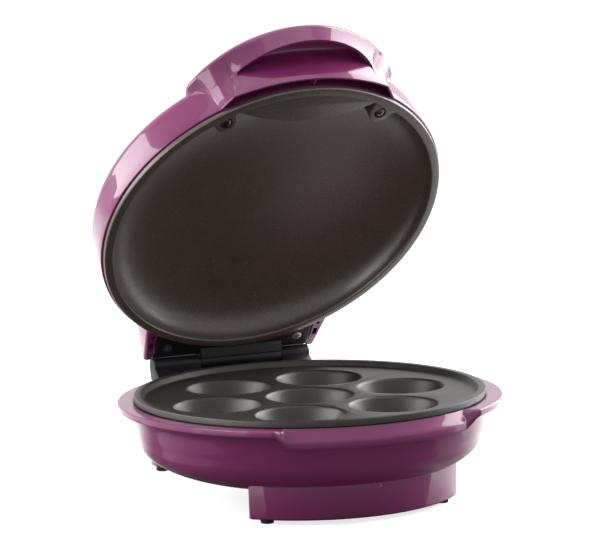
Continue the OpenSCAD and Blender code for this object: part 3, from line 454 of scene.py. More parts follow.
def finish_piece(obj: Obj, body: Body, finish: "Finish", node: str, placed: bool = False, angle: float = 35.0) -> None:
    """Puts a finished mesh in its place and hands it to its body.

    Args:
        obj: The piece.
        body: The body that it moves with.
        finish: Its finish.
        node: The solid that it stands for.
        placed: Whether its mesh already lies in scene metres.
        angle: Angle over which an edge stays sharp, in degrees.
    """
    deselect()
    if not placed:
        obj.data.transform(LAYOUT.matrix(body))
    pick(obj)
    bpy.ops.object.shade_smooth_by_angle(angle=math.radians(angle))
    obj.data.materials.clear()
    obj.data.materials.append(finish.material())
    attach(obj, body.value)
    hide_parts(node)
    log.info("%s: %d faces, rides on %s", obj.name, len(obj.data.polygons), body.value)


# ---- finishes ----


def feed(tree: Tree, node: bpy.types.Node, inputs: Dict[object, object]) -> None:
    """Sets a node's inputs.

    Args:
        tree: The node tree.
        node: The node.
        inputs: For each input, by name or number, the output that feeds it or the constant that it holds.
    """
    for key, value in inputs.items():
        if isinstance(value, Socket):
            tree.links.new(value, node.inputs[key])
        else:
            node.inputs[key].default_value = value


def add(tree: Tree, kind: str, inputs: Dict[object, object], out: object = 0, **settings: object) -> Socket:
    """Adds a shader node.

    Args:
        tree: The node tree.
        kind: The node's type, without its ShaderNode prefix.
        inputs: What its inputs hold, as for feed.
        out: Name or number of the output that is wanted.
        **settings: Its other settings.

    Returns:
        That output.
    """
    node = tree.nodes.new("ShaderNode" + kind)
    for key, value in settings.items():
        setattr(node, key, value)
    feed(tree, node, inputs)
    return node.outputs[out]


def ramp(tree: Tree, value: Socket, *stops: Tuple[float, Colour]) -> Socket:
    """Turns a value into a colour between two stops.

    Args:
        tree: The node tree.
        value: The value.
        *stops: Place and colour of each stop.

    Returns:
        The colour's output.
    """
    colour = add(tree, "ValToRGB", {"Fac": value}, "Color")
    for stop, (place, tint) in zip(colour.node.color_ramp.elements, stops):
        stop.position, stop.color = place, tint
    return colour


class Kind(Enum):
    """How a finish's surface is broken up."""

    MOULDED = "moulded"
    COATED = "coated"
    METAL = "metal"
    WOVEN = "woven"


@dataclass(frozen=True)
class Finish:
    """A material made of nodes.

    Attributes:
        name: The material's name.
        slot: The material slot that it fills.
        colour: Its colour, as written in sRGB from 0 to 255.
        shade: How far the colour wanders, as a share.
        rough: Roughness.
        rough_wander: How far the roughness wanders.
        kind: How the surface is broken up.
        coat: Weight of a clear gloss over it.
        coat_rough: Roughness of that gloss.
        grain: Size of the fine grain, in millimetres.
        bump: Strength of the fine grain.
        clear: Transmission, for lamps' lenses.
        ior: Index of refraction.
    """

    name: str
    slot: str
    colour: Tuple[int, int, int]
    shade: float = 0.06
    rough: float = 0.4
    rough_wander: float = 0.05
    kind: Kind = Kind.MOULDED
    coat: float = 0.0
    coat_rough: float = 0.05
    grain: float = 0.6
    bump: float = 0.05
    clear: float = 0.0
    ior: float = 1.48

    def linear(self, gain: float = 1.0) -> Colour:
        """Gives the colour in linear light, multiplied by a gain, with its alpha."""
        parts = [part / 255 for part in self.colour]
        return (*[min(1.0, gain * (s / 12.92 if s <= 0.04045 else ((s + 0.055) / 1.055) ** 2.4)) for s in parts], 1.0)

    def material(self) -> bpy.types.Material:
        """Builds the material once and gives it back.

        Returns:
            The material.
        """
        if self.name in bpy.data.materials:
            return bpy.data.materials[self.name]
        mat = bpy.data.materials.new(self.name)
        mat.use_nodes = True
        tree = mat.node_tree
        place = add(tree, "TexCoord", {}, "Object")
        if self.kind is Kind.METAL:
            place = add(tree, "Mapping", {"Vector": place, "Scale": (1, 1, 14)})
        cloud = add(tree, "TexNoise", {"Vector": place, "Scale": 38.0, "Detail": 3.0}, "Fac")
        fine = add(tree, "TexNoise", {"Vector": place, "Scale": 1000.0 / self.grain, "Detail": 2.0}, "Fac")
        colour = ramp(tree, cloud, (0.3, self.linear(1 - self.shade)), (0.7, self.linear(1 + self.shade)))
        if self.kind in (Kind.COATED, Kind.WOVEN):
            specks = add(tree, "TexNoise", {"Vector": place, "Scale": 1600.0, "Detail": 1.0}, "Fac")
            sieve = ramp(tree, specks, (0.58, (0, 0, 0, 1)), (0.72, (1, 1, 1, 1)))
            pale = [min(1.0, part * 1.9 + 0.01) for part in self.linear()[:3]]
            colour = add(tree, "Mix", {"Factor": sieve, "A": colour, "B": (*pale, 1.0)}, "Result", data_type="RGBA")
        rough = add(tree, "MapRange", {
            "Value": cloud if self.kind is Kind.MOULDED else fine, "From Min": 0.3, "From Max": 0.7,
            "To Min": max(0.02, self.rough - self.rough_wander), "To Max": self.rough + self.rough_wander})
        grain = add(tree, "Bump", {"Strength": self.bump, "Distance": 0.0002, "Height": fine})
        feed(tree, tree.nodes["Principled BSDF"], {
            "Base Color": colour, "Roughness": rough, "Normal": grain, "IOR": self.ior,
            "Metallic": float(self.kind is Kind.METAL), "Transmission Weight": self.clear,
            "Coat Weight": self.coat, "Coat Roughness": self.coat_rough})
        return mat


def metal(name: str, slot: str, colour: Tuple[int, int, int], *numbers: float, **more: float) -> Finish:
    """Gives the finish of a brushed metal."""
    return Finish(name, slot, colour, *numbers, Kind.METAL, **more)


def lead(name: str, colour: Tuple[int, int, int], shade: float = 0.06) -> Finish:
    """Gives the finish of a lead's cover."""
    return Finish(f"{name}_lead_cover", f"{name}_lead", colour, shade, 0.42, grain=0.5, bump=0.12)


def lens(name: str, colour: Tuple[int, int, int]) -> Finish:
    """Gives the finish of a lamp's lens."""
    return Finish(f"{name}_lens_plastic", f"{name}_lens", colour, 0.04, 0.12, 0.02, coat=0.5, grain=1.6, clear=0.35)


PURPLE = Finish("glossy_purple_plastic", "purple_plastic", (148, 54, 116), 0.02, 0.3, 0.01, coat=0.8, coat_rough=0.03,
                grain=1.4, bump=0.03, ior=1.25)
NON_STICK = Finish("dark_non_stick_coating", "non_stick_plate", (46, 41, 39), 0.1, 0.4, 0.05, Kind.COATED,
                   grain=0.5, bump=0.25, ior=1.5)
# The dish has the plate's dark coating, drawn brighter and browner here: the brown is a painted reflection of the
# cakes, and the extra brightness is a painted sheen.
DISH_COAT_PAINTED_REFLECTION = Finish("dish_coating_painted_cake_reflection", "non_stick_plate", (100, 88, 79), 0.08, 0.33, 0.04, Kind.COATED,
                   grain=0.5, bump=0.2, ior=1.6)
BLACK = Finish("black_heatproof_plastic", "black_plastic", (38, 38, 41), 0.1, 0.42, grain=0.5, bump=0.14, ior=1.3)
RUBBER = Finish("black_pad_rubber", "pad_rubber", (27, 27, 27), 0.15, 0.8, 0.08, grain=0.35, bump=0.4)
STEEL = metal("bright_steel", "steel_fixings", (176, 176, 172), 0.05, 0.3, 0.08, grain=0.4, bump=0.1)
DARK_STEEL = metal("browned_screw_steel", "dark_screws", (92, 84, 76), 0.12, 0.34, 0.08, grain=0.4, bump=0.12)
ELEMENT = metal("grey_element_sheath", "element_metal", (110, 112, 110), 0.14, 0.48, 0.08, grain=0.7, bump=0.2)
SHIELD = metal("bare_sheet_metal", "shield_metal", (188, 190, 190), 0.05, 0.32, 0.08, grain=0.9, bump=0.12)
PALE = Finish("pale_terminal_plastic", "pale_plastic", (226, 222, 208), 0.03, 0.45, 0.06, grain=0.4, bump=0.1)
BRASS = metal("brass_terminals", "brass_fittings", (196, 164, 92), 0.06, 0.28, 0.07, grain=0.5, bump=0.1)
BROWN, BLUE = lead("brown", (96, 56, 32)), lead("blue", (34, 74, 150))
GREEN, WHITE = lead("green", (70, 128, 52)), lead("white", (232, 230, 224), 0.03)
SLEEVE = Finish("woven_glass_sleeve", "fibre_sleeve", (206, 198, 176), 0.08, 0.7, 0.06, Kind.WOVEN, grain=0.9, bump=0.6)
GLASS = Finish("lamp_glass_shell", "lamp_glass", (236, 236, 230), 0.03, 0.12, 0.02, grain=1.0, bump=0.02, clear=0.6)
RED, GREEN_LENS = lens("red", (176, 26, 24)), lens("green", (34, 140, 60))
FOR_SOLIDS = (PURPLE, NON_STICK, BLACK, RUBBER, STEEL, DARK_STEEL, ELEMENT, SHIELD, PALE, BRASS, BROWN, BLUE, GREEN,
              WHITE, SLEEVE, GLASS, RED, GREEN_LENS)


# ---- the base ----


@dataclass
class BaseHousing:
    """The purple bowl with its flange, finger recess, front foot, hinge block and rear legs."""

    steps: int = 540
    vent_r: float = 36.0
    under_z: float = 13.5
    flat_r: float = 45.0
    side_r: float = 98.0
    side_z: float = 36.0
    wall: float = 2.5
    inner_r: float = 98.9
    inner_turn: Point2 = (95.6, 36.5)
    recess_half: float = 33.2
    foot_r: float = 85.4
    foot_half: float = 49.0
    foot_z: float = 2.5
    floor_t: float = 2.5
    block_half: float = 53.0
    block_low: float = 18.0
    block_y: float = 114.0
    block_top: float = 53.3
    notch_half: float = 50.8
    leg_w: float = 11.0
    post_ring: float = 80.0
    posts: Tuple[float, ...] = (30.0, 150.0, 270.0)
    cover_ring: float = 40.5
    cover_screws: Tuple[float, ...] = (45.0, 135.0, 225.0, 315.0)
    pad_ring: float = 78.2
    pad_half: float = 43.0

    def section(self, degrees: float) -> List[Point2]:
        """Gives the wall's closed section in one direction.

        Args:
            degrees: Direction from +X.

        Returns:
            Radius and height of each point.
        """
        plain = [(99, 39), (99.7, 41.5), (100.4, 45), (101, 48), (101.8, 50.2), (103, 51.9), (105, 53), (108.5, 53.3),
                 (109.1, 53.4), (109.4, 53.7), (109.5, 54.2), (109.5, 56.2), (109.4, 56.75), (109.1, 57.05),
                 (108.6, 57.1), (104, 57.1), (100.6, 57.1)]
        dipped = [(99, 39), (99.7, 41.5), (100.3, 44), (100.8, 45.2), (102, 45.55), (103.2, 45.75), (103.8, 46.1),
                  (104, 46.6), (104, 48), (104, 49.4), (103.95, 50.3), (103.7, 51), (103.2, 51.9), (102.5, 53.1),
                  (101.8, 54.4), (101.1, 55.9), (100.6, 57)]
        t = 1 - ease(self.recess_half - 1.6, self.recess_half + 2.2, from_front(degrees))
        lip = [(mix(a[0], b[0], t), mix(a[1], b[1], t)) for a, b in zip(plain, dipped)]
        inner = [(self.inner_r, 56.4), (self.inner_r, 50), (98.2, 46), (97, 40), self.inner_turn]
        inside_z = self.under_z + self.wall
        under = self.turned((self.side_r, self.side_z), self.under_z, 14)
        back = self.turned(self.inner_turn, inside_z, 12)[-2::-1]
        return [(self.vent_r, self.under_z)] + under + lip + inner + back + [(self.vent_r, inside_z)]

    def turned(self, top: Point2, low: float, count: int) -> List[Point2]:
        """Follows the bowl's quarter turn from its flat to its side.

        Args:
            top: Radius and height where the turn ends.
            low: Height of the flat.
            count: Number of chords.

        Returns:
            Radius and height of each point, from the flat up.
        """
        turns = [math.radians(90 * i / count) for i in range(count + 1)]
        return [(self.flat_r + (top[0] - self.flat_r) * math.sin(a), top[1] - (top[1] - low) * math.cos(a))
                for a in turns]

    def bowl(self) -> Obj:
        """Sweeps the wall's section round the bowl and makes the holes in it.

        Returns:
            The bowl.
        """
        shell = swept("base_shell", self.section, self.steps)
        half = self.notch_half
        notch = block("hinge_notch", (-half, 104.0, self.block_top), (half, 124.0, 60.0))
        holes = [prism("screw_well", disc(*polar(self.post_ring, angle), 3.9, 48), 0, 40) for angle in self.posts]
        return cut(shell, notch, *holes)

    def front_foot(self) -> Obj:
        """Makes the hollow foot under the front of the bowl.

        Returns:
            The foot.
        """
        low, in_r, half, inset = self.foot_z, self.foot_r - 13, self.foot_half, 1.7
        rise = [(r, self.bowl_z(r) + 1.2) for r in (85.7, 82.0, 78.0, in_r)]
        foot = lathe("front_foot", [(in_r, low), (85.0, low)] + rise, 84, start=-90 - half, turn=2 * half)
        soften(foot, 1.6, 4, 40)
        hollow = [(in_r - 4, low - 2), (82.6, low - 2), (83.2, 30.0), (in_r - 4, 30.0)]
        return cut(foot, lathe("foot_hollow", hollow, 80, start=inset - 90 - half, turn=2 * (half - inset)))

    def bowl_z(self, r: float) -> float:
        """Gives the height of the bowl's underside at a radius."""
        share = (r - self.flat_r) / (self.side_r - self.flat_r)
        return self.side_z - (self.side_z - self.under_z) * math.sqrt(max(0.0, 1 - share * share))

    def hinge_block(self) -> Obj:
        """Makes the block that carries the hinge, with the two rear legs under its corners.

        Returns:
            The block and its legs.
        """
        half, y, low, wall = self.block_half, self.block_y, self.block_low, self.wall
        hull = soften(block("hinge_block", (-half, 62, low), (half, y, self.block_top)), 2.2, 4)
        room = block("block_room", (-half + wall, 40, low + wall), (half - wall, y - wall, self.block_top - wall))
        inside = [(r, self.bowl_z(r) + 1.2) for r in (52, 60, 68, 76, 84, 90, 94, 97)]
        inside = [(0, -5), (self.flat_r, -5), (self.flat_r, 14.6)] + inside + [(97.4, 60), (0, 60)]
        cut(hull, room, lathe("bowl_room", inside, 180))
        for s in SIDES:
            leg = block("rear_leg", (s * (half - self.leg_w), y - self.leg_w, self.foot_z), (s * half, y, low + 3))
            soften(leg, 1.6, 4)
            near = (s * (half - self.leg_w - 2), y - self.leg_w - 2, self.foot_z + self.floor_t)
            cut(leg, block("leg_room", near, (s * (half - wall), y - wall, low + 4)))
            join(hull, leg)
        return hull

    def fittings(self) -> List[Obj]:
        """Makes the posts inside and the floors that carry the pads.

        Returns:
            The pieces.
        """
        post = [(2.0, 28.0), (2.0, 30.0), (5.6, 30.0), (5.9, 29.6), (6.4, 19.5), (4.4, 19.5), (4.2, 28.0)]
        pieces = [lathe("post", post, 32, polar(self.post_ring, angle)) for angle in self.posts]
        post = [(1.5, 14.5), (1.5, 22.7), (3.0, 22.7), (3.2, 22.4), (3.3, 14.5)]
        pieces += [lathe("cover_post", post, 24, polar(self.cover_ring, angle)) for angle in self.cover_screws]
        for s in SIDES:
            angle = s * self.pad_half - 90
            floor = block("pad_floor", (-5.2, -7.0, self.foot_z), (5.4, 7.0, self.foot_z + self.floor_t))
            soften(floor, 0.6, 2)
            turn = Matrix.Rotation(math.radians(angle), 4, "Z")
            floor.data.transform(Matrix.Translation((*polar(self.pad_ring, angle), 0)) @ turn)
            pieces.append(floor)
        return pieces

    def build(self) -> None:
        """Builds the housing as one moulded piece and dresses it."""
        shell = join(self.bowl(), self.front_foot(), self.hinge_block(), *self.fittings())
        finish_piece(shell, Body.BASE, PURPLE, "base_housing", angle=30)


@dataclass
class BakingPlate:
    """The coated plate with one well in the middle and six round it."""

    wells: int = 6
    pitch: float = 57.5
    floor_z: float = 57.5
    well_floor: float = 35.5
    mouth_r: float = 25.0
    corner_at: float = 13.0
    corner: float = 5.0
    wall: float = 1.6

    def well(self, grow: float) -> List[Point2]:
        """Gives a well's outline, from its floor to its mouth.

        Args:
            grow: How far outside the inner face it lies.

        Returns:
            The outline, closed on the axis.
        """
        curve = [(0.0, self.well_floor - grow)]
        curve += arc(self.corner_at, self.well_floor + self.corner, self.corner + grow, -90, -16, 8)
        if grow:
            return curve + [(self.mouth_r + grow, self.floor_z - 0.8), (0.0, self.floor_z - 0.8)]
        mouth = [(24.2, 55.4), (24.5, 56.2), (24.9, 56.9), (25.5, 57.35), (26.3, 57.5), (26.4, 62.0), (0.0, 62.0)]
        return curve + mouth

    def seven(self, name: str, grow: float) -> Obj:
        """Spins one well and repeats it in the middle and at each place round it."""
        spots = [polar(self.pitch, 360 * i / self.wells) for i in range(self.wells)]
        return repeated(lathe(name, self.well(grow), 96), [(0.0, 0.0), *spots])

    def build(self) -> None:
        """Builds the plate and dresses it."""
        top = [(0, 57.5), (93.2, 57.5), (94.2, 57.8), (94.8, 58.6), (95.5, 60.6), (95.75, 60.9), (96.3, 61), (99.2, 61),
               (99.8, 60.8), (100, 60.2), (100, 57.6), (99.6, 57.2), (97.8, 57.2), (97.8, 55.9), (0, 55.9)]
        plate = lathe("baking_plate", top, 288)
        cut(plate, self.seven("well_walls", self.wall), keep="UNION")
        cut(plate, self.seven("well_rooms", 0.0))
        finish_piece(plate, Body.BASE, NON_STICK, "lower_baking_plate", angle=30)


@dataclass
class RubberPads:
    """The four pads that the cake maker stands on."""

    height: float = 2.5
    ring_r: float = 78.8
    front_half: float = 43.0
    rear: Point2 = (47.5, 108.5)

    def build(self) -> None:
        """Spins one pad, copies it to each foot and dresses them."""
        profile = [(0, 0.25), (2.4, 0.1), (2.7, 0), (3.3, 0), (3.7, 0.3), (3.8, 0.8), (3.8, self.height),
                   (1.5, self.height), (1.5, 5.3), (0, 5.5)]
        pad = lathe("feet_pads", profile, 40)
        spots = [(s * self.rear[0], self.rear[1]) for s in SIDES]
        spots += [polar(self.ring_r, s * self.front_half - 90) for s in SIDES]
        finish_piece(repeated(pad, spots), Body.BASE, RUBBER, "rubber_pads")


# ---- the lid ----


@dataclass(frozen=True)
class GripColumn:
    """One upright section of the handle, as points in plan.

    Attributes:
        foot: Where its lower edge stands.
        mid: Where its wall stands at the height of the visor's edge.
        hood: Where it reaches the hood's outline.
        out: Outward direction at its foot.
    """

    foot: Vector
    mid: Vector
    hood: Vector
    out: Vector


@dataclass
class LidHousing:
    """The purple lid: its ring, dome, rear wedge with two ears, and the hooded handle."""

    steps: int = 480
    edge_z: float = 3.1
    ring_r: float = 103.7
    side_r: float = 102.3
    side_z: float = 21.6
    shoulder: float = 10.0
    dome_r: float = 95.4
    dome_z: float = 31.1
    dome_top: float = 46.2
    wall: float = 2.8
    inner_r: float = 100.9
    rim_r: float = 101.2
    root: Point2 = (-53.9, -88.6)
    root_lean: float = 0.27
    corner_x: float = 47.5
    corner_round: float = 1.2
    lip_r: float = 118.0
    lip_y: float = -108.3
    pocket_x: float = 43.0
    crease_x: float = 43.7
    visor_r: float = 51.7
    visor_y: float = -123.0
    hood_r: float = 69.8
    hood_y: float = -124.0
    visor_z: float = 18.6
    full_z: float = 28.2
    pocket_z: float = 27.0
    slot_z: float = 17.0
    lens_spots: Tuple[Point2, ...] = ((-9.0, -84.0), (9.0, -84.0))
    ear_y: float = 111.9
    ear_hole_x: float = 52.9
    ear_screw: Point2 = (53.3, 92.5)
    tongue_half: float = 50.6
    tongue_top: float = 9.3

    def dome(self, r: float) -> float:
        """Gives the dome's height at a radius.

        Args:
            r: The radius.

        Returns:
            The height.
        """
        rise = self.dome_top - self.dome_z
        big = (self.dome_r**2 + rise**2) / (2 * rise)
        return self.dome_top - big + math.sqrt(big * big - r * r)

    def section(self, degrees: float) -> List[Point2]:
        """Gives the shell's closed section in one direction.

        Args:
            degrees: Direction from +X.

        Returns:
            Radius and height of each point.
        """
        dip = 1.7 * (1 - ease(28.8, 30.6, from_front(degrees)))
        ring = self.ring_r - dip
        outer = [(ring - 0.9, self.edge_z), (ring - 0.45, self.edge_z + 0.12), (ring - 0.12, self.edge_z + 0.45),
                 (ring, self.edge_z + 0.9), (103.25 - dip, 10.0), (102.8 - dip * 0.9, 16.0), (102.5 - dip * 0.2, 19.0)]
        outer += arc(self.side_r - self.shoulder, self.side_z, self.shoulder, 0, 70, 12)
        radii = [93.0, 88, 80, 72, 64, 56, 48, 40, 32, 24, 16, 8]
        outer += [(r, self.dome(r)) for r in radii] + [(0.0, self.dome_top)]
        inner = [(0.0, self.dome_top - self.wall)] + [(r, self.dome(r) - self.wall) for r in reversed(radii[1:])]
        inner += arc(self.side_r - self.shoulder, self.side_z, self.shoulder - self.wall, 64, 0, 8)
        return outer + inner + [(100.6, 12.0), (self.inner_r, self.edge_z)]

    def rear_wedge(self) -> Obj:
        """Makes the wedge behind the shell, whose ends are the two ears beside the hinge.

        Returns:
            The wedge.
        """
        far, side = self.ear_y, [(59.0, 80.0), (59.0, 84.0), (54.8, self.ear_y)]
        wedge = prism("rear_wedge", [(-x, y) for x, y in side] + side[::-1], self.edge_z, 40.0)
        for spot, way in (((0, far, self.edge_z + 3), (0, 28.0, 23.9)), ((0, 0, self.dome_z - 0.15), (0, 0, 1))):
            edit(wedge)
            bpy.ops.mesh.bisect(plane_co=spot, plane_no=way, use_fill=True, clear_outer=True)
            leave()
        soften(clean(wedge), 2.6, 5, 25)
        inside = [(0, -5), (self.inner_r, -5), (self.inner_r, 12), (100.2, 21.6), (97.5, 28.0), (92, 29.6), (60, 34),
                  (0, 40)]
        half = self.tongue_half
        barrel = prism("barrel_room", disc(0, 0, 5.6, 48), -half, half)
        barrel.data.transform(Matrix.Rotation(math.radians(90), 4, "Y"))
        barrel.data.transform(Matrix.Translation((0, *LID_AXIS)))
        room = block("tongue_room", (-half, 80, -4), (half, 140, self.tongue_top))
        tools = [lathe("shell_room", inside, 240), room, barrel]
        for s in SIDES:
            x = s * self.ear_hole_x
            tools.append(block("ear_hole", (x - 1.4, 97.0, -1), (x + 1.4, 102.0, 7.0)))
            tools.append(prism("ear_screw_hole", disc(s * self.ear_screw[0], self.ear_screw[1], 1.1, 24), -1, 8))
        return cut(wedge, *tools)

    def lip_y_at(self, x: float) -> float:
        """Gives where the lip's arc lies along Y."""
        return self.lip_y + self.lip_r - math.sqrt(self.lip_r**2 - x * x)

    def visor_y_at(self, x: float) -> float:
        """Gives where the visor's arc lies along Y."""
        return self.visor_y + self.visor_r - math.sqrt(self.visor_r**2 - x * x)

    def hood_centre(self) -> Vector:
        """Gives the middle of the hood's round outline."""
        return Vector((0, self.hood_y + self.hood_r))

    def hood_at(self, degrees: float) -> Vector:
        """Gives a point of the hood's round outline, drawn in where it dies into the shoulder."""
        return Vector(polar(self.hood_r - 5.5 * ease(64, 76, degrees), -90 - degrees, self.hood_centre()))

    def hood_over(self, spot: Vector) -> Vector:
        """Gives the point of the hood's outline that lies radially outside a point."""
        return self.hood_centre() + (spot - self.hood_centre()).normalized() * self.hood_r

    def hood_along(self, spot: Vector, way: Vector) -> Vector:
        """Gives the point of the hood's outline that lies beyond a point in one direction.

        Args:
            spot: The point, inside the outline.
            way: The direction, as a unit vector.

        Returns:
            The point of the outline.
        """
        back = spot - self.hood_centre()
        half = back.dot(way)
        return spot + way * (math.sqrt(half * half - back.dot(back) + self.hood_r**2) - half)

    def half_outline(self, count: int) -> List[GripColumn]:
        """Follows the handle's left half from where it leaves the shell to its middle.

        Args:
            count: Number of columns along the lip.

        Returns:
            The columns, the first few of which stand inside the shell's wall.
        """
        root = Vector(self.root)
        corner = Vector((-self.corner_x, self.lip_y_at(self.corner_x)))
        crease = Vector((-self.crease_x, self.lip_y_at(self.crease_x) - 0.1))
        turned = crease + Vector((-0.8, 0.9))
        way = (corner - root).normalized()
        side = Vector((way.y, -way.x))
        front = Vector(polar(1, -90 - math.degrees(math.asin(self.corner_x / self.lip_r))))
        before = corner - way * self.corner_round
        after = corner + Vector((-front.y, front.x)) * self.corner_round
        root_mid = root.lerp(self.hood_along(root, side), self.root_lean)
        columns = []
        tail, sides, turns = 12, 14, 6
        for i in range(tail):
            t = i / tail
            ray = Vector(polar(1, -90 - mix(43.0, 31.5, t)))
            mid = (ray * (102.5 - 4.5 * (1 - t) ** 0.6)).lerp(root_mid, ease(0.7, 1.0, t))
            hood = self.hood_at(mix(74.0, 57.4, t))
            columns.append(GripColumn(ray * (103.6 - 1.4 * (1 - t) ** 0.5), mid, hood, ray))
        for i in range(sides + 1):
            t = i / sides
            foot = root.lerp(before, t)
            hood = self.hood_along(foot, side)
            mid = foot.lerp(hood, self.root_lean).lerp(turned, ease(0.6, 1.0, t))
            columns.append(GripColumn(foot, mid, hood, side))
        for i in range(1, turns):
            t = i / turns
            foot = before * (1 - t) ** 2 + corner * 2 * t * (1 - t) + after * t * t
            mid = turned.lerp(crease, t)
            hood = self.hood_over(self.hood_along(foot, side).lerp(self.hood_over(mid), t))
            columns.append(GripColumn(foot, mid, hood, side.lerp(front, t).normalized()))
        pocket_end = Vector((-self.pocket_x, self.lip_y_at(self.pocket_x) - 0.02))
        for i in range(count + 1):
            x = mix(after.x, 0.0, i / count)
            mid = Vector((x, self.visor_y_at(x))) if x >= pocket_end.x else crease.lerp(
                pocket_end, (x - after.x) / (pocket_end.x - after.x))
            out = Vector((x / self.lip_r, -math.sqrt(1 - (x / self.lip_r) ** 2)))
            columns.append(GripColumn(Vector((x, self.lip_y_at(x))), mid, self.hood_over(mid), out))
        return columns

    def wall_at(self, column: GripColumn, z: float) -> Vector:
        """Gives where the handle's plain outer wall stands at a height.

        Args:
            column: Where the section stands.
            z: The height.

        Returns:
            The point in plan. The side's wall is one curve, and the front's has a fold at the visor's edge.
        """
        foot, mid, hood = column.foot, column.mid, column.hood
        low, edge, full = self.edge_z, self.visor_z, self.full_z
        a, b = (z - low) / (full - low), (edge - low) / (full - low)
        curved = foot * (1 - a) * (1 - a / b) + mid * a * (1 - a) / (b * (1 - b)) + hood * a * (a - b) / (1 - b)
        if z <= edge:
            folded = foot.lerp(mid, (z - low) / (edge - low))
        else:
            t = (z - edge) / (full - edge)
            rise = (mid - foot) * (full - edge) / (edge - low)
            lean = (hood - mid) * 1.25
            h = t * t * t
            folded = (mid * (2 * h - 3 * t * t + 1) + rise * (h - 2 * t * t + t)
                      + hood * (3 * t * t - 2 * h) + lean * (h - t * t))
        return curved.lerp(folded, ease(-48.2, -46.4, foot.x))

    def pocket(self, foot: Vector, visor: Vector, out: Vector, opened: float) -> List[Tuple[Vector, float]]:
        """Gives the finger pocket's section, from the lip up under the roof and down to the visor's edge.

        Args:
            foot: Where the lip stands.
            visor: Where the visor's edge stands.
            out: Outward direction at the lip.
            opened: How far the pocket is open, from 0 to 1.

        Returns:
            Plan point and height of each point.
        """
        edge = self.visor_z
        gap = self.gap(foot, visor)
        top = mix(edge, self.pocket_z, ease(0.0, 7.0, gap))
        fillet, skin, drop = min(4.0, 0.45 * gap), min(2.0, 0.4 * gap), min(1.2, 0.2 * gap)
        way = (visor - foot).normalized() if gap > 0.01 else out
        inner = visor - way * skin
        low = self.edge_z + 0.6
        points = [(foot, mix(low, top - fillet, t)) for t in (0.2, 0.4, 0.6, 0.8, 1.0)]
        for a in (15, 30, 45, 60, 75, 90):
            across, up = polar(1, a)
            points.append((foot + way * fillet * (1 - across), top - fillet + fillet * up))
        bend, roof = foot + way * fillet, inner - way * drop
        points += [(bend.lerp(roof, t), top) for t in (0.33, 0.66, 1.0)]
        points += [(roof.lerp(inner, 0.3), top - drop * 0.06), (roof.lerp(inner, 0.7), top - drop * 0.3),
                   (inner, top - drop), (inner, mix(top - drop, edge + 0.5, 0.5)), (inner, edge + 0.4 * opened),
                   (inner.lerp(visor, 0.2), edge + 0.1 * opened), (inner.lerp(visor, 0.4), edge),
                   (inner.lerp(visor, 0.75), edge), (inner.lerp(visor, 0.95), edge + 0.12)]
        return points

    def gap(self, foot: Vector, visor: Vector) -> float:
        """Gives how far the visor stands out over the lip, which is nothing outside the pocket."""
        return max(0.0, foot.y - visor.y) if abs(foot.x) < self.pocket_x else 0.0

    def handle_section(self, column: GripColumn) -> List[Point3]:
        """Gives the closed section of the handle at one point of its outline.

        Args:
            column: Where the section stands.

        Returns:
            The section's points.
        """
        foot, visor, hood, out = column.foot, column.mid, column.hood, column.out
        low, edge, full = self.edge_z, self.visor_z, self.full_z
        opened = ease(0.0, 2.2, self.gap(foot, visor))
        points = [(foot - out * 0.5, low), (foot - out * 0.12, low + 0.15), (foot, low + 0.6)]
        pocket = self.pocket(foot, visor, out, opened)
        for i, (spot, z) in enumerate(pocket):
            plain = mix(low + 0.6, edge + 0.12, (i + 1) / len(pocket))
            points.append((self.wall_at(column, plain).lerp(spot, opened), mix(plain, z, opened)))
        for t in (0.08, 0.2, 0.35, 0.5, 0.65, 0.8, 0.9, 1.0):
            z = mix(edge + 0.3, full, t)
            points.append((self.wall_at(column, z).lerp(visor.lerp(hood, t**1.15), opened), z))
        crown = self.dome_z + 2.14
        inward = (self.hood_centre() - hood).normalized()
        for a in (0, 15, 30, 45, 60, 75, 90):
            across, up = polar(1, a)
            points.append((hood + inward * 5.2 * (1 - across), crown - 4.9 + 4.8 * up))
        spoke = hood.normalized()
        points += [(spoke * min(96.4, hood.length - 6.2), crown + 0.1), (spoke * 90.0, self.dome(90.0) + 0.7),
                   (spoke * 84.0, self.dome(84.0) - 0.4), (spoke * 84.0, self.dome(84.0) - 1.6)]
        ray = foot.normalized()
        points += [(ray * 93.5, 26.5), (ray * 100.2, 20.0), (ray * self.inner_r, self.slot_z)]
        inside = foot - out * 1.4
        if inside.length < self.rim_r:
            inside = inside.normalized() * self.rim_r
        points += [(inside, self.slot_z), (inside, mix(low, self.slot_z, 0.5)), (inside, low + 0.4),
                   (inside + out * 0.3, low)]
        return [(p.x, p.y, z) for p, z in points]

    def handle(self) -> Obj:
        """Builds the handle: the lower lip, the finger pocket over it, and the hood with its visor.

        Returns:
            The handle with the thin rib across its slot.
        """
        rows = [self.handle_section(column) for column in self.half_outline(60)]
        rows += [[(-x, y, z) for x, y, z in row] for row in reversed(rows[:-1])]
        rib = block("slot_rib", (-0.8, -107.4, self.edge_z + 0.5), (0.8, -101.0, self.slot_z + 0.5))
        return join(lattice("grip", rows), soften(rib, 0.35, 2))

    def build(self) -> None:
        """Builds the lid housing as one moulded piece and dresses it."""
        shell = swept("lid_shell", self.section, self.steps)
        cut(shell, *[prism("lamp_hole", disc(*spot, 4.1, 36), 20, 60) for spot in self.lens_spots])
        cut(shell, block("tongue_gap", (-self.tongue_half, 86, 0), (self.tongue_half, 130, self.tongue_top)))
        join(shell, self.rear_wedge(), self.handle())
        finish_piece(shell, Body.LID, PURPLE, "lid_housing", angle=30)


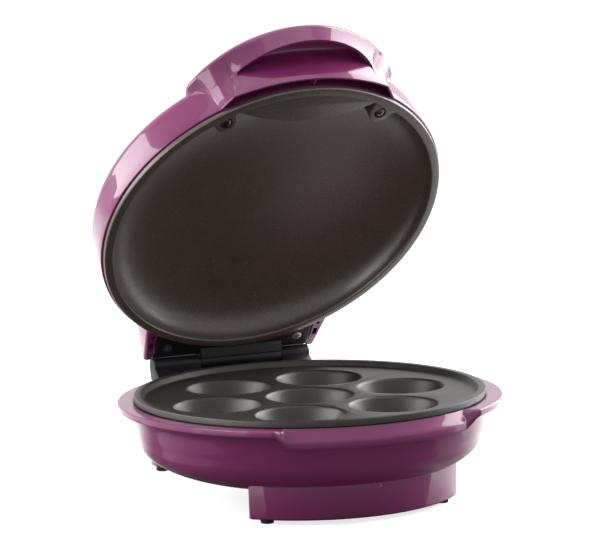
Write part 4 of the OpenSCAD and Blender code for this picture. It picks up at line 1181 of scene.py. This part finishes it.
@dataclass
class LidDish:
    """The coated dish inside the lid, with its rim, front shelf and two screw bosses."""

    depth: float = 27.0
    mouth_r: float = 97.2
    power: float = 3.2
    thick: float = 1.3
    shelf_z: float = 3.0
    shelf_half: float = 43.6
    boss: Point2 = (47.5, -78.0)
    boss_r: float = 6.5
    arc_r: float = 93.4
    near_y: float = -76.5

    def curve(self, grow: float, count: int = 34) -> List[Point2]:
        """Follows the dish's curve from its mouth to its middle.

        Args:
            grow: How far outside the inner face it lies.
            count: Number of steps.

        Returns:
            Radius and height of each point.
        """
        points = []
        for i in range(count + 1):
            share = math.sin(math.radians(90 * (1 - i / count))) ** 0.62
            deep = self.depth * math.sqrt(max(0.0, 1 - share**self.power))
            points.append((share * (self.mouth_r + grow), deep + grow))
        return points

    def bowl(self) -> Obj:
        """Spins the dish with its rolled rim.

        Returns:
            The dish.
        """
        rim = [(97.2, 1.2), (97.35, 0.55), (97.7, 0.15), (98.2, 0.0), (101.4, 0.0), (102.1, 0.2), (102.45, 0.7),
               (102.5, 1.3), (102.5, 2.75), (101.1, 2.75), (101.0, 1.7), (99.2, 1.6), (98.5, 2.2)]
        return lathe("dish", self.curve(0.0)[:0:-1] + rim + self.curve(self.thick)[1:], 360)

    def shelf(self) -> Obj:
        """Makes the crescent shelf inside the rim.

        Returns:
            The shelf.
        """
        half, outline = self.shelf_half, []
        for i in range(49):
            x = mix(-half, half, i / 48)
            outline.append((x, self.near_y - self.arc_r + math.sqrt(self.arc_r**2 - x * x)))
        start = math.degrees(math.atan2(-87.3, half))
        outline += arc(0, 0, 97.6, start, -180 - start, 48)
        return soften(prism("shelf", outline, self.shelf_z, 23.0), 1.5, 4, 50)

    def boss_piece(self, side: int) -> Obj:
        """Makes one screw boss that flares into the rim.

        Args:
            side: -1 for the left one, 1 for the right one.

        Returns:
            The boss.
        """
        middle = Vector((side * self.boss[0], self.boss[1]))
        away = middle.normalized()
        across = Vector((-away.y, away.x))
        flare = [(0.0, 6.5), (1.6, 6.7), (3.2, 7.5), (4.5, 8.8), (5.5, 10.6), (6.3, 12.6)]
        local = flare[::-1] + arc(0, 0, self.boss_r, 100, 260, 16) + [(u, -v) for u, v in flare]
        outline = [tuple(middle + away * u + across * v) for u, v in local]
        return soften(prism("boss", outline, self.shelf_z, 19.0), 1.1, 4, 50)

    def build(self) -> None:
        """Builds the dish and dresses it."""
        dish = self.bowl()
        room = [(0.0, -1.0), (98.3, -1.0)] + self.curve(self.thick / 2)[1:]
        fittings = [self.shelf(), self.boss_piece(-1), self.boss_piece(1)]
        for piece in fittings:
            cut(piece, lathe("dish_room", room, 180), keep="INTERSECT")
        for s, piece in zip(SIDES, fittings[1:]):
            cut(piece, prism("boss_hole", disc(s * self.boss[0], self.boss[1], 3.7, 36), 1.0, 4.6))
        finish_piece(join(dish, *fittings), Body.LID, DISH_COAT_PAINTED_REFLECTION, "lid_dish", angle=32)


@dataclass
class DishScrews:
    """The two cross-headed screws that hold the dish."""

    spot: Point2 = (47.5, -78.0)
    turns: Point2 = (22.0, 64.0)

    def screw(self) -> Obj:
        """Models one screw with its head down and a cross in it.

        Returns:
            The screw.
        """
        profile = [(0, 2.9), (1.4, 2.95), (2.4, 3.15), (2.95, 3.6), (3.1, 4.1), (3.1, 4.5), (1.5, 4.5), (1.5, 15.2),
                   (0.7, 15.9), (0, 15.9)]
        long, thin, low, high = 1.9, 0.35, 2.0, 4.1
        cross = [block("slot", (-x, -y, low), (x, y, high)) for x, y in ((long, thin), (thin, long))]
        return cut(lathe("dish_fixings", profile, 32), *cross)

    def build(self) -> None:
        """Copies the screw to both bosses and dresses them."""
        pair = repeated(self.screw(), [(s * self.spot[0], self.spot[1]) for s in SIDES], self.turns)
        finish_piece(pair, Body.LID, DARK_STEEL, "dish_screws")


@dataclass
class Lens:
    """A round lamp lens in the top of the lid."""

    x: float
    node: str
    finish: Finish
    y: float = -84.0
    r: float = 4.0
    low: float = 32.3
    top: float = 35.4

    def build(self) -> None:
        """Spins the lens with a domed top and dresses it."""
        low, top, r = self.low, self.top, self.r
        profile = [(0, low), (2.9, low), (3.0, low + 1.4), (r, low + 1.6), (r, top - 0.6), (3.8, top - 0.2),
                   (3.3, top), (2.2, top + 0.2), (1.1, top + 0.3), (0, top + 0.33)]
        lens = lathe(self.node + "_cap", profile, 48, (self.x, self.y))
        finish_piece(lens, Body.LID, self.finish, self.node)


# ---- solids whose shape is kept ----


@dataclass
class KeptSolids:
    """The solids that are shown as they are, and those that only have their edges rounded."""

    rounded: Tuple[Tuple[str, str, Body, float], ...] = (
        ("hinge_bracket", "bracket", Body.BASE, 0.45),
        ("hinge_tongue", "tongue", Body.LID, 0.45),
        ("bottom_cover", "vented_cover", Body.BASE, 0.35),
        ("cord_inlet", "cord_bush", Body.BASE, 0.4),
    )
    strips: Tuple[Point2, ...] = ((-49.8, -20.0), (31.5, 49.8))

    def apron(self) -> Obj:
        """Models the two curved strips of the lid's tongue that close over the bracket's barrels.

        Returns:
            Both strips as one piece.
        """
        section = [(-7.0, 2.95), (-7.0, 5.3), (-5.0, 5.2)] + arc(0, 0, 5.85, 128, 97, 8) + arc(0, 0, 4.95, 97, 150, 10)
        strips = []
        for left, right in self.strips:
            strip = prism("tongue_apron", [(-z - LID_AXIS[1], y + LID_AXIS[0]) for y, z in section], left, right)
            strip.data.transform(Matrix.Rotation(math.radians(90), 4, "Y"))
            strips.append(soften(strip, 0.2, 2))
        return join(*strips)

    def build(self) -> None:
        """Rounds the edges of the copied solids and gives every solid its finish."""
        for node, name, body, edge in self.rounded:
            finish_piece(from_solid(node, name, edge), body, BLACK, node, placed=True)
        finish_piece(self.apron(), Body.LID, BLACK, "hinge_tongue")
        by_slot = {finish.slot: finish for finish in FOR_SOLIDS}
        slots = {part["node"]: part["material_slot"] for part in frame["record"]["subparts"]}
        for node, solid in frame["nodes"].items():
            finish = by_slot[slots.get(node, STEEL.slot)]
            solid.data.materials.clear()
            solid.data.materials.append(finish.material())
            log.info("%s: %s", node, finish.name)


# ---- the studio ----


@dataclass
class Studio:
    """The floor, the lamps, the world and the camera."""

    camera_at: Point3 = (-0.8652, -1.913805, 0.4351)
    lens: float = 223.92
    azimuth: float = 24.35
    elevation: float = 8.40
    roll: float = -1.34

    def camera(self) -> None:
        """Sets the camera at its viewing angle."""
        data = bpy.data.cameras.new("view")
        data.lens, data.sensor_width = self.lens, 36
        data.clip_start, data.clip_end = 0.1, 20
        eye = bpy.data.objects.new("view", data)
        bpy.context.collection.objects.link(eye)
        eye.matrix_world = Matrix.Translation(self.camera_at)
        for angle, axis in ((-self.azimuth, "Z"), (90 - self.elevation, "X"), (self.roll, "Z")):
            eye.matrix_world @= Matrix.Rotation(math.radians(angle), 4, axis)
        bpy.context.scene.camera = eye

    def lamp(self, name: str, spot: Point3, aim: Point3, size: Point2, power: float, card: bool = False) -> None:
        """Hangs one soft lamp.

        Args:
            name: The lamp's name.
            spot: Where it hangs, in metres.
            aim: What it faces.
            size: Its width and height, in metres.
            power: Its power in watts.
            card: Whether it only shows in shiny surfaces and throws no light on matt ones.
        """
        data = bpy.data.lights.new(name, "AREA")
        data.shape = "RECTANGLE"
        data.size, data.size_y = size
        data.energy = power
        lamp = bpy.data.objects.new(name, data)
        bpy.context.collection.objects.link(lamp)
        way = Vector(aim) - Vector(spot)
        lamp.matrix_world = Matrix.Translation(spot) @ way.to_track_quat("-Z", "Y").to_matrix().to_4x4()
        lamp.visible_diffuse = not card

    def either(self, tree: Tree, *values: Socket) -> Socket:
        """Gives the largest of some values."""
        return functools.reduce(lambda one, other: add(tree, "Math", {0: one, 1: other}, operation="MAXIMUM"), values)

    def floor(self) -> None:
        """Lays a pale floor that looks white to the camera, keeps the shadow and throws little light back.

        A shiny surface sees it white behind and to the right of the object and far off to the left, and dark in front.
        """
        deselect()
        bpy.ops.mesh.primitive_grid_add(x_subdivisions=8, y_subdivisions=8, size=12, location=(0, 0, 0))
        ground = made("floor")
        mat = bpy.data.materials.new("pale_floor")
        mat.use_nodes = True
        tree = mat.node_tree
        lit = tree.nodes["Principled BSDF"]
        feed(tree, lit, {"Base Color": (0.14, 0.14, 0.14, 1), "Roughness": 0.1, "IOR": 1.32})
        seen = add(tree, "BsdfDiffuse", {"Color": (0.8, 0.8, 0.8, 1)})
        glow = add(tree, "Emission", {"Strength": 0.75})
        both = add(tree, "AddShader", {0: seen, 1: glow})
        path = add(tree, "LightPath", {}).node.outputs
        place = add(tree, "TexCoord", {}, "Object")
        bright = []
        for way, low, high in (((0.6, 1.0, 0.0), 0.0, 0.1), ((-1.0, 0.0, 0.0), 0.4, 0.6)):
            along = add(tree, "VectorMath", {0: place, 1: way}, "Value", operation="DOT_PRODUCT")
            bright.append(add(tree, "MapRange", {"Value": along, "From Min": low, "From Max": high}))
        shine = add(tree, "Math", {0: path["Is Glossy Ray"], 1: self.either(tree, *bright)}, operation="MULTIPLY")
        white = self.either(tree, path["Is Camera Ray"], shine, path["Is Transmission Ray"])
        blend = add(tree, "MixShader", {0: white, 1: lit.outputs[0], 2: both})
        feed(tree, tree.nodes["Material Output"], {"Surface": blend})
        ground.data.materials.append(mat)

    def world(self) -> None:
        """Lights the room evenly and shows white behind."""
        world = bpy.data.worlds.new("studio")
        bpy.context.scene.world = world
        world.use_nodes = True
        tree = world.node_tree
        path = add(tree, "LightPath", {}).node.outputs
        white = self.either(tree, path["Is Camera Ray"], path["Is Glossy Ray"], path["Is Transmission Ray"])
        level = add(tree, "MapRange", {"Value": white, "To Min": 0.3, "To Max": 1.0})
        feed(tree, tree.nodes["Background"], {"Color": (1, 1, 1, 1), "Strength": level})

    def build(self) -> None:
        """Sets up the whole studio."""
        self.camera()
        self.floor()
        self.world()
        self.lamp("left_panel", (-1.60, 0.85, 0.70), (0, 0, 0.15), (1.9, 0.9), 32)
        self.lamp("side_panel", (-1.56, -0.36, 0.42), (0, 0, 0.22), (1.0, 0.66), 10, card=True)
        self.lamp("right_panel", (1.11, 0.20, 0.65), (0, 0, 0.12), (1.25, 1.2), 28)
        self.lamp("top_panel", (-0.2, -0.2, 1.8), (0, 0, 0.1), (1.8, 1.6), 8)
        bpy.context.scene.view_settings.view_transform = "Standard"


def main() -> None:
    """Builds the cake maker piece by piece, in the studio."""
    logging.basicConfig(level=logging.INFO, format="%(message)s")
    makers = [Studio(), KeptSolids(), BaseHousing(), BakingPlate(), RubberPads(), LidHousing(), LidDish(),
              DishScrews(), Lens(-9.0, "power_lens", RED), Lens(9.0, "ready_lens", GREEN_LENS)]
    for maker in makers:
        maker.build()
        log.info("%s is done", type(maker).__name__)
    deselect()


if __name__ == "__main__":
    main()
